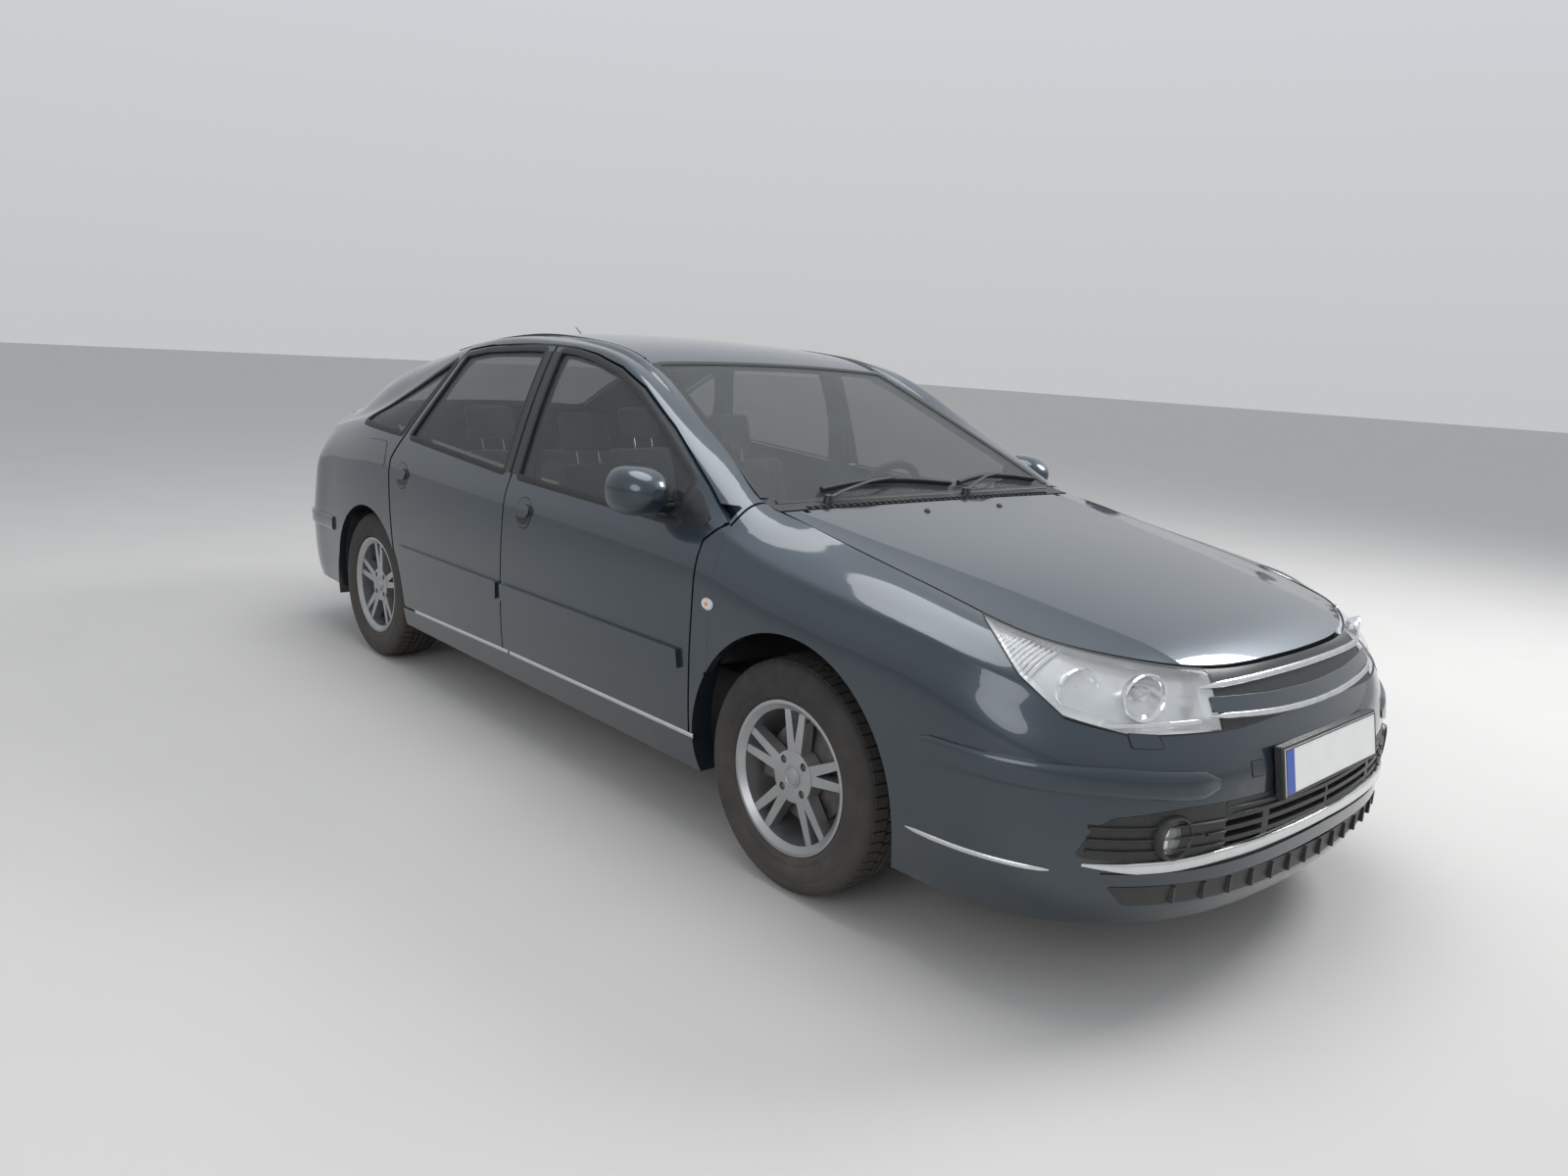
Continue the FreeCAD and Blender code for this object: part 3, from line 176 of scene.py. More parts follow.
# Number plates: half height, and the middle's y and z in front and behind
PLATE_HALF_HEIGHT = .055
FRONT_PLATE, REAR_PLATE = (0.0, .540), (0.0, .800)

# Lamps: thickness of a cover, the housing's gap behind it, and the section of the rubber round it
LAMP_COVER_THICK = 0.0025
LAMP_SHELL_GAP = 0.0035
HEADLAMP_DEPTH = 0.050
TAIL_LAMP_DEPTH = 0.040
LAMP_SEAL_SECTION = ((-.002, -.003), (-.002, .0008), (.002, .0008), (.002, -.003))

# Seats: x and y of a front seat, x of the rear seat, headrests' y on the rear seat, height of the cushions'
# underside and of the backs' foot, and sizes of the pads as length, width and thickness
SEAT_X, SEAT_Y = -.260, .370
REAR_SEAT_X, REAR_REST_Y = -1.000, .400
CUSHION_HEIGHT, BACK_FOOT_HEIGHT = .390, .460
SEAT_LEAN = math.radians(20)
HEADREST_SIZE = (.170, .240, .066)
PAD_SHRINK, PAD_CROWN = 0.006, 0.010
SEAM_REACH, SEAM_DEPTH = 0.008, 0.007


def side_levels(row):
    """Points up one side section, from the sill to the roof's edge, as y and z."""
    _, waist, sh_y, sh_z, belt_y, belt_z, top_y, window_z, rail_y, rail_z, edge_y = row
    return [
        (waist - 50, 190), (waist - 14, 310), (waist - 3, 450), (waist, 600),
        ((waist + sh_y) / 2 + 4, (600 + sh_z) / 2), (sh_y, sh_z), (belt_y, belt_z),
        ((belt_y + top_y) / 2 + 10, (belt_z + window_z) / 2), (top_y, window_z), (rail_y, rail_z),
        (edge_y, 0),
    ]


def spline_weights(marks, samples):
    """How much each point counts at each sample of a smooth curve through points at the given marks."""
    n, h = len(marks), np.diff(marks)
    left, right = np.eye(n), np.zeros((n, n))
    for i in range(1, n - 1):
        left[i, i - 1:i + 2] = h[i - 1], 2 * (h[i - 1] + h[i]), h[i]
        right[i, i - 1:i + 2] = 6 / h[i - 1], -6 / h[i - 1] - 6 / h[i], 6 / h[i]
    bend, rows = np.linalg.solve(left, right), []
    for s in samples:
        i = int(min(max(np.searchsorted(marks, s) - 1, 0), n - 2))
        a = (marks[i + 1] - s) / h[i]
        b = 1 - a
        row = ((a ** 3 - a) * bend[i] + (b ** 3 - b) * bend[i + 1]) * h[i] ** 2 / 6
        row[i] += a
        row[i + 1] += b
        rows.append(row)
    return np.array(rows)


def dense(grid, steps=SKIN_STEPS):
    """A fine grid of points on the smooth skin through a coarse grid."""
    grid = np.array(grid, float)
    fine = []
    for axis in (0, 1):
        gaps = np.linalg.norm(np.diff(grid, axis=axis), axis=2).mean(axis=1 - axis)
        marks = np.concatenate([[0.0], np.cumsum(gaps)])
        samples = np.interp(np.arange(0, len(marks) - 1 + 1e-9, 1 / steps), np.arange(len(marks)), marks)
        fine.append(spline_weights(marks, samples))
    return np.einsum("ai,bj,ijk->abk", fine[0], fine[1], grid)


def crown_grid(sections):
    """Rows of points across a top skin, each falling off to the sides by its own drop."""
    grid = []
    for x, z, drop in sections:
        grid.append([(x, y, z - drop * (abs(y) / CROWN_Y) ** CROWN_POWER) for y in CROWN_COLUMNS])
    return grid


class Skin:
    """A smooth outer skin of the body, in metres, with its normals."""

    def __init__(self, grid, flip=False):
        points = dense(grid) / 1000.0
        normals = np.cross(np.gradient(points, axis=0), np.gradient(points, axis=1))
        normals /= np.linalg.norm(normals, axis=2)[:, :, None]
        if flip:
            normals = -normals
        rows, columns = points.shape[:2]
        self.points = [Vector(p) for p in points.reshape(-1, 3)]
        self.normals = [Vector(n) for n in normals.reshape(-1, 3)]
        self.faces = [
            (i * columns + j, (i + 1) * columns + j, (i + 1) * columns + j + 1, i * columns + j + 1)
            for i in range(rows - 1) for j in range(columns - 1)
        ]
        self.tree = BVHTree.FromPolygons(self.points, self.faces)

    def smooth_normal(self, place, index):
        """The normal at a point of a face, blended from the face's corners."""
        corners = self.faces[index]
        weights = poly_3d_calc([self.points[c] for c in corners], place)
        normal = Vector()
        for weight, corner in zip(weights, corners):
            normal += weight * self.normals[corner]
        return normal.normalized()

    def nearest(self, point):
        """The nearest point on the skin, its normal and how far it is."""
        place, _, index, distance = self.tree.find_nearest(point)
        return place, self.smooth_normal(place, index), distance

    def hit(self, origin, direction):
        """Where a ray meets the skin, and the normal there."""
        place, _, index, _ = self.tree.ray_cast(Vector(origin), Vector(direction))
        if place is None:
            raise RuntimeError("No skin under %s" % (tuple(origin),))
        return place, self.smooth_normal(place, index)


def corner_stations(row, profile, squareness, angles):
    """Stations that carry a side section round the nose or the tail, as a rounded square in plan."""
    stations = []
    for angle in angles:
        turn = math.radians(angle)
        c = abs(math.cos(turn)) ** (2 / squareness)
        s = math.copysign(abs(math.sin(turn)) ** (2 / squareness), angle)
        lift = (1 - math.cos(abs(turn))) ** CORNER_LIFT_POWER
        stations.append([
            [row[0] + (tip_x - row[0]) * c, y * s, tip_z + (z - tip_z) * lift]
            for (y, z), (tip_x, tip_z) in zip(side_levels(row), profile)
        ])
    return stations


def side_grid(bonnet, roof):
    """Stations of the left side, from past the middle of the nose to past the middle of the tail."""
    grid = corner_stations(SIDE_SECTIONS[0], NOSE_PROFILE, FRONT_SQUARENESS, reversed(ROUND_ANGLES))
    grid += [[[row[0], y, z] for y, z in side_levels(row)] for row in SIDE_SECTIONS]
    grid += corner_stations(SIDE_SECTIONS[-1], TAIL_PROFILE, REAR_SQUARENESS, ROUND_ANGLES)
    for station in grid:
        edge = station[-1]
        skin = bonnet if edge[0] > BONNET_JOIN_X else roof
        edge[2] = skin.hit((edge[0] / 1000, edge[1] / 1000, 3), DOWN)[0].z * 1000
    return grid


BONNET = Skin(crown_grid(BONNET_SECTIONS), flip=True)
ROOF = Skin(crown_grid(ROOF_SECTIONS), flip=True)
SIDE_GRID = side_grid(BONNET, ROOF)
SIDE = {
    1: Skin(SIDE_GRID),
    -1: Skin([[(x, -y, z) for x, y, z in station] for station in SIDE_GRID], flip=True),
}
SIDE_POINTS = dense(SIDE_GRID) / 1000.0


# Finishes

class Graph:
    """The node tree of a material or world; an input takes a value or another node's output."""

    def __init__(self, owner):
        owner.use_nodes = True
        self.tree = owner.node_tree

    def feed(self, socket, value):
        """Give one input its value or link."""
        if isinstance(value, bpy.types.NodeSocket):
            self.tree.links.new(value, socket)
        else:
            socket.default_value = value

    def set(self, node, **inputs):
        """Set a node's inputs by name, with low lines for the spaces."""
        for key, value in inputs.items():
            self.feed(node.inputs[key.replace("_", " ")], value)
        return node

    def add(self, kind, **inputs):
        """A new node of a kind with its inputs set."""
        return self.set(self.tree.nodes.new("ShaderNode" + kind), **inputs)

    def noise(self, place, scale, detail):
        """Noise from zero to one over the surface."""
        return self.add("TexNoise", Scale=scale, Detail=detail, Vector=place).outputs["Fac"]

    def math(self, operation, *values):
        """The result of a sum on values or outputs."""
        node = self.add("Math")
        node.operation = operation
        for socket, value in zip(node.inputs, values):
            self.feed(socket, value)
        return node.outputs["Value"]

    def span(self, value, low, high):
        """A value from zero to one, spread from low to high."""
        return self.add("MapRange", Value=value, To_Min=low, To_Max=high).outputs["Result"]

    def ramp(self, value, low, high, ends=(0.0, 1.0)):
        """A blend from one colour to another while a value goes from end to end."""
        node = self.add("ValToRGB", Fac=value)
        for stop, color, end in zip(node.color_ramp.elements, (low, high), ends):
            stop.position = end
            stop.color = tuple(color) + (1.0,)
        return node.outputs["Color"]


def finish(name, color, roughness=0.5, metallic=0.0, vary=0.08, scale=40.0, bump=0.0, bump_scale=300.0,
           rough_vary=0.08, dirt=None, **sockets):
    """A finish whose colour, roughness and grain vary a little over the surface."""
    mat = bpy.data.materials.new(name)
    graph = Graph(mat)
    shader = graph.set(graph.tree.nodes["Principled BSDF"], Metallic=metallic, **sockets)
    place = graph.add("TexCoord").outputs["Object"]
    noise = graph.noise(place, scale, 4.0)
    dark, light = ([min(1.0, c * shade) for c in color[:3]] for shade in (1 - vary, 1 + vary))
    shown = graph.ramp(noise, dark, light, (0.3, 0.7))
    if dirt:
        shown = add_dirt(graph, place, shown, *dirt)
    rough = graph.span(noise, max(0.0, roughness - rough_vary / 2), min(1.0, roughness + rough_vary / 2))
    graph.set(shader, Base_Color=shown, Roughness=rough)
    if bump:
        grain = graph.noise(place, bump_scale, 3.0)
        relief = graph.add("Bump", Strength=bump, Distance=0.001, Height=grain)
        graph.set(shader, Normal=relief.outputs["Normal"])
    return mat


def add_dirt(graph, place, color, dirt_color, low, high, amount):
    """Dust that thickens from the height high down to low."""
    height = graph.add("SeparateXYZ", Vector=place).outputs["Z"]
    fade = graph.add("MapRange", From_Min=high, From_Max=low, To_Max=amount, Value=height)
    mix = graph.add("Mix")
    mix.data_type = "RGBA"
    share = graph.math("MULTIPLY", fade.outputs["Result"], graph.noise(place, 9.0, 8.0))
    graph.set(mix, Factor=share, A=color, B=tuple(dirt_color) + (1.0,))
    return mix.outputs["Result"]


def paint_finish(settings, name="Metallic paint"):
    """The body's metallic paint under clear lacquer, a little dusty low down."""
    return finish(
        name, settings.paint_color, roughness=settings.paint_roughness, metallic=0.6, vary=0.05,
        scale=3.0, rough_vary=0.06, dirt=((0.16, 0.145, 0.12), 0.18, 0.55, 0.25),
        Coat_Weight=1.0, Coat_Roughness=0.04)


def creased_paint(settings):
    """The body paint with the two folds that run back over the bonnet from the grille's ends."""
    mat = paint_finish(settings, "Bonnet paint")
    graph = Graph(mat)
    place = graph.add("SeparateXYZ", Vector=graph.add("TexCoord").outputs["Object"])
    start, slope = BONNET_FOLD
    line = graph.math("MULTIPLY_ADD", place.outputs["X"], slope, start)
    beyond = graph.math("SUBTRACT", graph.math("ABSOLUTE", place.outputs["Y"]), line)
    away = graph.math("MAXIMUM", beyond, 0.0)
    fall = graph.math("EXPONENT", graph.math("MULTIPLY", away, -1.0 / BONNET_FOLD_REACH))
    relief = graph.add("Bump", Distance=BONNET_FOLD_DEPTH, Height=fall).outputs["Normal"]
    graph.set(graph.tree.nodes["Principled BSDF"], Normal=relief, Coat_Normal=relief)
    return mat


# Building pieces

def new_piece(name, verts, faces, mats, body, smooth=True, picks=None):
    """A mesh object in the row frame that rides on a body; picks gives each face's finish."""
    mesh = bpy.data.meshes.new(name)
    mesh.from_pydata([tuple(v) for v in verts], [], faces)
    for mat in mats:
        mesh.materials.append(mat)
    if picks:
        mesh.polygons.foreach_set("material_index", picks)
    mesh.validate()
    bm = bmesh.new()
    bm.from_mesh(mesh)
    bmesh.ops.recalc_face_normals(bm, faces=bm.faces)
    bm.to_mesh(mesh)
    bm.free()
    obj = bpy.data.objects.new(name, mesh)
    bpy.context.scene.collection.objects.link(obj)
    if smooth:
        mesh.shade_smooth()
        mesh.set_sharp_from_angle(angle=math.radians(38))
    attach(obj, body)
    return obj


def bevel(obj, width, segments=2):
    """Round an object's edges with a modifier."""
    step = obj.modifiers.new("Bevel", "BEVEL")
    step.width = width
    step.segments = segments
    step.limit_method = "ANGLE"
    step.angle_limit = math.radians(40)
    return obj


def inside(point, edge):
    """Whether a flat point lies within a closed flat outline."""
    odd = False
    for a, b in zip(edge, edge[1:] + edge[:1]):
        if (a.y > point.y) != (b.y > point.y) and point.x < a.x + (point.y - a.y) * (b.x - a.x) / (b.y - a.y):
            odd = not odd
    return odd


def reach(point, a, b):
    """How far a flat point lies from the run between two others."""
    run = b - a
    share = min(1.0, max(0.0, (point - a).dot(run) / max(run.dot(run), 1e-12)))
    return (a + run * share - point).length


def fill(edge, spacing):
    """Points and triangles that fill a closed flat outline; the outline's own points come first."""
    low = Vector((min(p.x for p in edge), min(p.y for p in edge)))
    high = Vector((max(p.x for p in edge), max(p.y for p in edge)))
    inner, count = [], len(edge)
    for i in range(int((high.x - low.x) / spacing) + 1):
        for j in range(int((high.y - low.y) / spacing) + 1):
            point = low + Vector(((i + 0.5) * spacing, (j + 0.5) * spacing))
            if inside(point, edge):
                if min(reach(point, a, b) for a, b in zip(edge, edge[1:] + edge[:1])) > spacing * 0.4:
                    inner.append(point)
    rim = [(i, (i + 1) % count) for i in range(count)]
    verts, _, faces = delaunay_2d_cdt(edge + inner, rim, [], 1, 1e-7)[:3]
    return verts, faces


def ellipse(x, z, half_x, half_z, count=28):
    """Points round an ellipse about a middle."""
    return [(x + half_x * math.cos(2 * math.pi * i / count), z + half_z * math.sin(2 * math.pi * i / count))
            for i in range(count)]


def bar_section(half, high, base):
    """A bar with softened edges, as (across, out) points."""
    return (
        (-half, base), (-half, high * 0.5), (-half * 0.86, high * 0.85), (-half * 0.6, high),
        (half * 0.6, high), (half * 0.86, high * 0.85), (half, high * 0.5), (half, base),
    )


def oval_section(half_a, half_b, count):
    """An oval rod, as (across, out) points."""
    return [(half_a * math.cos(2 * math.pi * i / count), half_b * math.sin(2 * math.pi * i / count))
            for i in range(count)]


def rim_edges(faces):
    """The open edges of a patch, as pairs of corners."""
    used = {(a, b) for face in faces for a, b in zip(face, tuple(face[1:]) + tuple(face[:1]))}
    return [(a, b) for a, b in used if (b, a) not in used]


def rim_loop(faces):
    """The longest loop of corners round the open edge of a patch."""
    ahead, loops = dict(rim_edges(faces)), []
    while ahead:
        start = next(iter(ahead))
        loop = []
        while start in ahead:
            loop.append(start)
            start = ahead.pop(start)
        loops.append(loop)
    return max(loops, key=len)


def outer_patch(node, sign, skin):
    """The faces of a packed panel that lie on a skin, on one side of the car: points, normals and faces."""
    mesh = NODES[node].data
    used, points, normals, faces = {}, [], [], []
    for polygon in mesh.polygons:
        if polygon.center.y * sign < 0:
            continue
        _, normal, distance = skin.nearest(polygon.center)
        if distance > SKIN_REACH or normal.dot(polygon.normal) < 0.8:
            continue
        face = []
        for v in polygon.vertices:
            place = mesh.vertices[v].co
            key = tuple(round(c, 5) for c in place)
            if key not in used:
                used[key] = len(points)
                points.append(place.copy())
                normals.append(skin.nearest(place)[1])
            if used[key] not in face:
                face.append(used[key])
        if len(face) > 2:
            faces.append(tuple(face))
    return points, normals, faces


class Shape:
    """Vertices and faces gathered from several forms into one piece, with a finish for each face."""

    def __init__(self):
        self.verts, self.faces, self.picks = [], [], []

    def add(self, verts, faces, pick=0):
        """Take in a form's vertices and faces with one finish."""
        base = len(self.verts)
        self.verts += [Vector(v) for v in verts]
        self.faces += [tuple(base + i for i in face) for face in faces]
        self.picks += [pick] * len(faces)
        return self

    def sweep(self, path, normals, section, pick=0, closed=False, share=None):
        """A section of (across, out) points carried along a path; share gives its size at each point."""
        count, ring = len(path), len(section)
        verts, faces = [], []
        for i, (point, normal) in enumerate(zip(path, normals)):
            ahead = path[(i + 1) % count] if closed else path[min(i + 1, count - 1)]
            behind = path[i - 1] if closed else path[max(i - 1, 0)]
            along = (ahead - behind).normalized()
            aside = along.cross(normal).normalized()
            size = share[i] if share else 1.0
            verts += [point + aside * (a * size) + normal * (b * size) for a, b in section]
        spans = count if closed else count - 1
        for i in range(spans):
            j = (i + 1) % count
            faces += [(i * ring + k, i * ring + (k + 1) % ring, j * ring + (k + 1) % ring, j * ring + k)
                      for k in range(ring)]
        if not closed:
            faces += [tuple(range(ring)), tuple((count - 1) * ring + k for k in reversed(range(ring)))]
        return self.add(verts, faces, pick)

    def along(self, placed, section, pick=0, closed=False, share=None):
        """A section carried along points that come with their normals."""
        return self.sweep([p for p, _ in placed], [n for _, n in placed], section, pick, closed, share)

    def lathe(self, centre, axis, profile, pick=0, steps=32, capped=True):
        """A profile of (radius, along) points turned about an axis."""
        axis = Vector(axis).normalized()
        side = axis.orthogonal().normalized()
        other = axis.cross(side)
        verts, faces, ring = [], [], len(profile)
        for i in range(steps):
            a = 2 * math.pi * i / steps
            out = side * math.cos(a) + other * math.sin(a)
            verts += [Vector(centre) + out * r + axis * h for r, h in profile]
        for i in range(steps):
            j = (i + 1) % steps
            faces += [(i * ring + k, j * ring + k, j * ring + k + 1, i * ring + k + 1)
                      for k in range(ring - 1)]
        if capped:
            faces += [tuple(i * ring for i in range(steps)),
                      tuple(i * ring + ring - 1 for i in reversed(range(steps)))]
        return self.add(verts, faces, pick)

    def block(self, low, high, pick=0):
        """A plain box between two corners."""
        spans = list(zip(low, high))
        corners = [(x, y, z) for x in spans[0] for y in spans[1] for z in spans[2]]
        sides = ((0, 1, 3, 2), (4, 6, 7, 5), (0, 4, 5, 1), (2, 3, 7, 6), (0, 2, 6, 4), (1, 5, 7, 3))
        return self.add(corners, sides, pick)

    def plate(self, outline, place, lift, sink=0.001, spacing=0.03, pick=0, radius=0.0):
        """A thin plate laid on a skin; place gives the skin's point and normal for each flat point."""
        path = flat_path(outline, radius, spacing)
        rim = len(path)
        flat, faces = fill(path, spacing)
        placed, count = [place(a, b) for a, b in flat], len(flat)
        verts = [p + n * lift for p, n in placed] + [p - n * sink for p, n in placed]
        under = [tuple(count + i for i in reversed(face)) for face in faces]
        walls = [(i, (i + 1) % rim, count + (i + 1) % rim, count + i) for i in range(rim)]
        return self.add(verts, [tuple(f) for f in faces] + under + walls, pick)

    def thick(self, points, faces, shifts, pick=0, lid=True):
        """A patch and its shifted copy joined by walls; without its lid the patch itself is left open."""
        count = len(points)
        verts = list(points) + [p + s for p, s in zip(points, shifts)]
        under = [tuple(count + i for i in reversed(face)) for face in faces]
        walls = [(b, a, count + a, count + b) for a, b in rim_edges(faces)]
        return self.add(verts, (list(faces) if lid else []) + under + walls, pick)

    def piece(self, name, finishes, body, slot, smooth=True):
        """The object made of all that was gathered, with its finishes in the order of their picks."""
        mats = [FINISHES[key] for key in finishes]
        return new_piece(name, self.verts, self.faces, mats, body, smooth, self.picks)


def on_side(x, z, sign):
    """A point on the body side's skin, seen square from its side, and the skin's normal there."""
    return SIDE[sign].hit((x, 2.0 * sign, z), (0, -sign, 0))


def on_nose(y, z, x=3.5):
    """A point on the nose, or on the tail for an x behind the car, seen along the car, and its normal."""
    return SIDE[1 if y >= 0 else -1].hit((x, y, z), (-1 if x > 0 else 1, 0, 0))


def on_corner(s, z, sign, end=1):
    """A point on a corner of the body, looked at along a level diagonal; s runs across that view."""
    out = Vector((end, sign, 0)).normalized()
    aside = Vector((-end, sign, 0)).normalized()
    return SIDE[sign].hit(out * 4 + aside * s + Vector((0, 0, z)), -out)


def around(sign, height, front, rear):
    """Points and normals of a level line on the body side between two places along the car."""
    line = []
    for row in SIDE_POINTS:
        low = row[:5 * SKIN_STEPS]
        z = height(float(np.interp(.55, low[:, 2], low[:, 0])))
        x, y = (float(np.interp(z, low[:, 2], low[:, i])) for i in (0, 1))
        if y > .3 and min(front, rear) <= x <= max(front, rear):
            line.append(Vector((x, y * sign, z)))
    return [SIDE[sign].nearest(p)[:2] for p in line]


def on_top(x, y, lift=0.0):
    """A point on the bonnet or roof, seen from above, and its normal."""
    skin = BONNET if x > BONNET_JOIN_X / 1000 else ROOF
    place, normal = skin.hit((x, y, 3.0), DOWN)
    return place + normal * lift, normal


def resample(points, spacing, closed=False):
    """Points at a near even spacing along a line of straight runs."""
    points = [Vector(p) for p in points]
    if closed:
        points.append(points[0])
    out = []
    for a, b in zip(points, points[1:]):
        steps = max(1, round((b - a).length / spacing))
        out += [a.lerp(b, i / steps) for i in range(steps)]
    return out if closed else out + [points[-1]]


def rounded(points, radius):
    """A closed outline with its corners rounded."""
    points = [Vector(p) for p in points]
    out = []
    for i, corner in enumerate(points):
        before, after = points[i - 1], points[(i + 1) % len(points)]
        cut = min(radius, (before - corner).length * 0.45, (after - corner).length * 0.45)
        start = corner + (before - corner).normalized() * cut
        end = corner + (after - corner).normalized() * cut
        for k in range(CORNER_STEPS + 1):
            t = k / CORNER_STEPS
            out.append(start.lerp(corner, t).lerp(corner.lerp(end, t), t))
    return out


# Outlines in side view, x and z, in metres, the section of the window rubber and the plan of the patch
FRONT_WINDOW = (
    (.800, .930), (.785, 1.050), (.590, 1.163), (.388, 1.272), (.250, 1.328), (.090, 1.365),
    (-.027, 1.381), (-.130, 1.386), (-.130, .956),
)
REAR_WINDOW = (
    (-.240, .962), (-.240, 1.386), (-.364, 1.385), (-.666, 1.369), (-.845, 1.345), (-1.030, 1.012),
)
QUARTER_WINDOW = (
    (-1.120, 1.020), (-.935, 1.325), (-1.094, 1.262), (-1.385, 1.135), (-1.500, 1.075), (-1.540, 1.035),
)
SEAL_SECTION = ((-.004, -.006), (-.004, .0018), (.004, .0030), (.016, .0018), (.021, -.001), (.021, -.008))
SHOULDER_PATCH = (
    (-2.036, .596), (-2.036, .690), (-2.070, .676), (-2.100, .662), (-2.130, .640), (-2.152, .612),
    (-2.146, .584), (-2.120, .594),
)
PILLAR_COVERS = (
    ("front_pillar_cover", "front_door_", ((-.132, .958), (-.132, 1.384), (-.179, 1.386), (-.179, .957))),
    ("rear_pillar_cover", "rear_door_", ((-.192, .957), (-.192, 1.386), (-.238, 1.385), (-.238, .962))),
)


def flat_path(outline, radius, spacing):
    """Evenly spaced points round an outline whose corners are rounded."""
    corners = rounded(outline, radius) if radius else outline
    return resample(corners, spacing, closed=True)


# Side trim: the seam between wing and body side, handles, side lamp, fuel flap, sill strips and roof ditches
WING_SEAM_X, WING_SEAM_SPAN = 1.006, (.535, .945)
HANDLES = (("front", -.040, .838), ("rear", -1.040, .850))
SIDE_LAMP = (1.008, .731)
FUEL_FLAP = ((-1.405, .972), (-1.225, .974), (-1.222, .868), (-1.398, .866))
SILL_STRIPS = (
    ("rear_sill_strip", ((-.930, .301), (-.138, .318))),
    ("front_sill_strip", ((-.128, .318), (.958, .327))),
)
DITCH_SPAN = (-1.15, .225)

# Nose, y and z seen from the front; a grille bar has its name, half width, height, bow and section
GRILLE_BARS = (
    ("upper_grille_top_bar", .436, .743, -.006, bar_section(.0085, .010, -.004)),
    ("upper_grille_low_bar", .446, .662, .020, bar_section(.0075, .012, -.004)),
)
GRILLE_BLADE = (
    (-.425, .718), (-.2, .706), (0, .702), (.2, .706), (.425, .718), (.432, .688), (.2, .671), (0, .668),
    (-.2, .671), (-.432, .688),
)
MOUTH = ((-.436, .500), (.436, .500), (.436, .456), (-.436, .456))
MOUTH_BARS = (.468, .484)
LIP_LINE = ((0, .391), (.272, .386), (.446, .380), (.575, .370), (.679, .368), (.752, .371))
CHIN = (
    (-.715, .352), (-.5, .352), (0, .364), (.5, .352), (.715, .352), (.69, .325), (.45, .322), (0, .330),
    (-.45, .322), (-.69, .325),
)
CHIN_SLOT = ((-.70, .320), (.70, .320), (.66, .272), (0, .268), (-.66, .272))
CHIN_RIBS = 15
FOG_LAMP = (.575, .432)
FOG_BEZEL = (
    (.757, .392), (.735, .455), (.700, .482), (.560, .498), (.438, .500), (.436, .385), (.575, .378),
    (.740, .384),
)
FOG_BARS = (.405, .432, .459)
FOG_RING = ((.036, -.030), (.040, .004), (.044, .012), (.049, .012), (.053, .004), (.054, -.012))
FOG_LENS = (
    (.001, .005), (.018, .0045), (.030, .003), (.0385, .0), (.0385, -.002), (.030, .001), (.001, .003),
)
LAMP_WASHER = ((2.253, .726, .662), (2.282, .644, .656), (2.308, .649, .626), (2.278, .734, .630))
TOW_EYE = ((-.352, .578), (-.304, .578), (-.304, .540), (-.352, .540))

# Lamps: each headlamp bowl's centre and radius, the flutes beside them, and each tail bowl's z, radius and
# finish
HEADLAMP_BOWLS = (((2.072, .676, .727), .047), ((2.178, .575, .722), .050))
FLUTES, FLUTE_X, FLUTE_STEP = 11, 1.880, .013
FLUTE_SECTION = ((-.005, -.004), (-.004, .001), (0, .004), (.004, .001), (.005, -.004))
TAIL_BOWLS = ((.905, .036, 0), (.825, .036, 0), (.752, .030, 1))

# Tail, y and z seen from behind
HANDLE_BAR = ((-.36, .892), (.36, .892), (.36, .868), (-.36, .868))
REAR_INSERT = ((-.60, .330), (.60, .330), (.56, .262), (-.56, .262))

# Wheels: half the tyre's section as radius and y, tread rows as low y, high y, share of a pitch and lag, and
# the cap's profile
TYRE_SECTION = (
    (.2114, .0915), (.216, .098), (.2234, .1015), (.230, .1035), (.233, .1028), (.236, .1028),
    (.240, .1050), (.250, .1066), (.263, .1075), (.275, .1066), (.277, .1056), (.280, .1056),
    (.283, .1060), (.292, .1040), (.301, .0995), (.306, .0962), (.311, .0900), (.3135, .0840), (.3130, .0700),
)
TREAD_ROWS = (
    (-.011, .011, 1.0, 0), (.017, .038, .80, .3), (-.038, -.017, .80, .3), (.044, .084, .84, .6),
    (-.084, -.044, .84, .6),
)
HUB_CAP = (
    (.001, .0055), (.014, .005), (.021, .0035), (.0225, .0015), (.0245, .0015), (.026, .003), (.0285, .0025),
    (.030, -.002),
)

# Wipers as name, pivot's y and blade end's y; turned profiles; mirror's place and sail
WIPERS = (("wiper_right", -.47, .15), ("wiper_left", .17, .62))
WIPER_SPINDLE = ((.016, -.004), (.016, .014), (.013, .024), (.013, .030), (.008, .034), (.001, .035))
WASHER_JET = ((.010, -.003), (.011, .001), (.008, .006), (.003, .009), (.001, .0092))
AERIAL_FOOT = ((.017, -.002), (.017, .004), (.010, .014), (.004, .018))
MIRROR_PLACE = (.672, .928, 1.012)
MIRROR_SAIL = ((.812, .936), (.922, .932), (.930, .958), (.848, 1.016), (.812, 1.030))

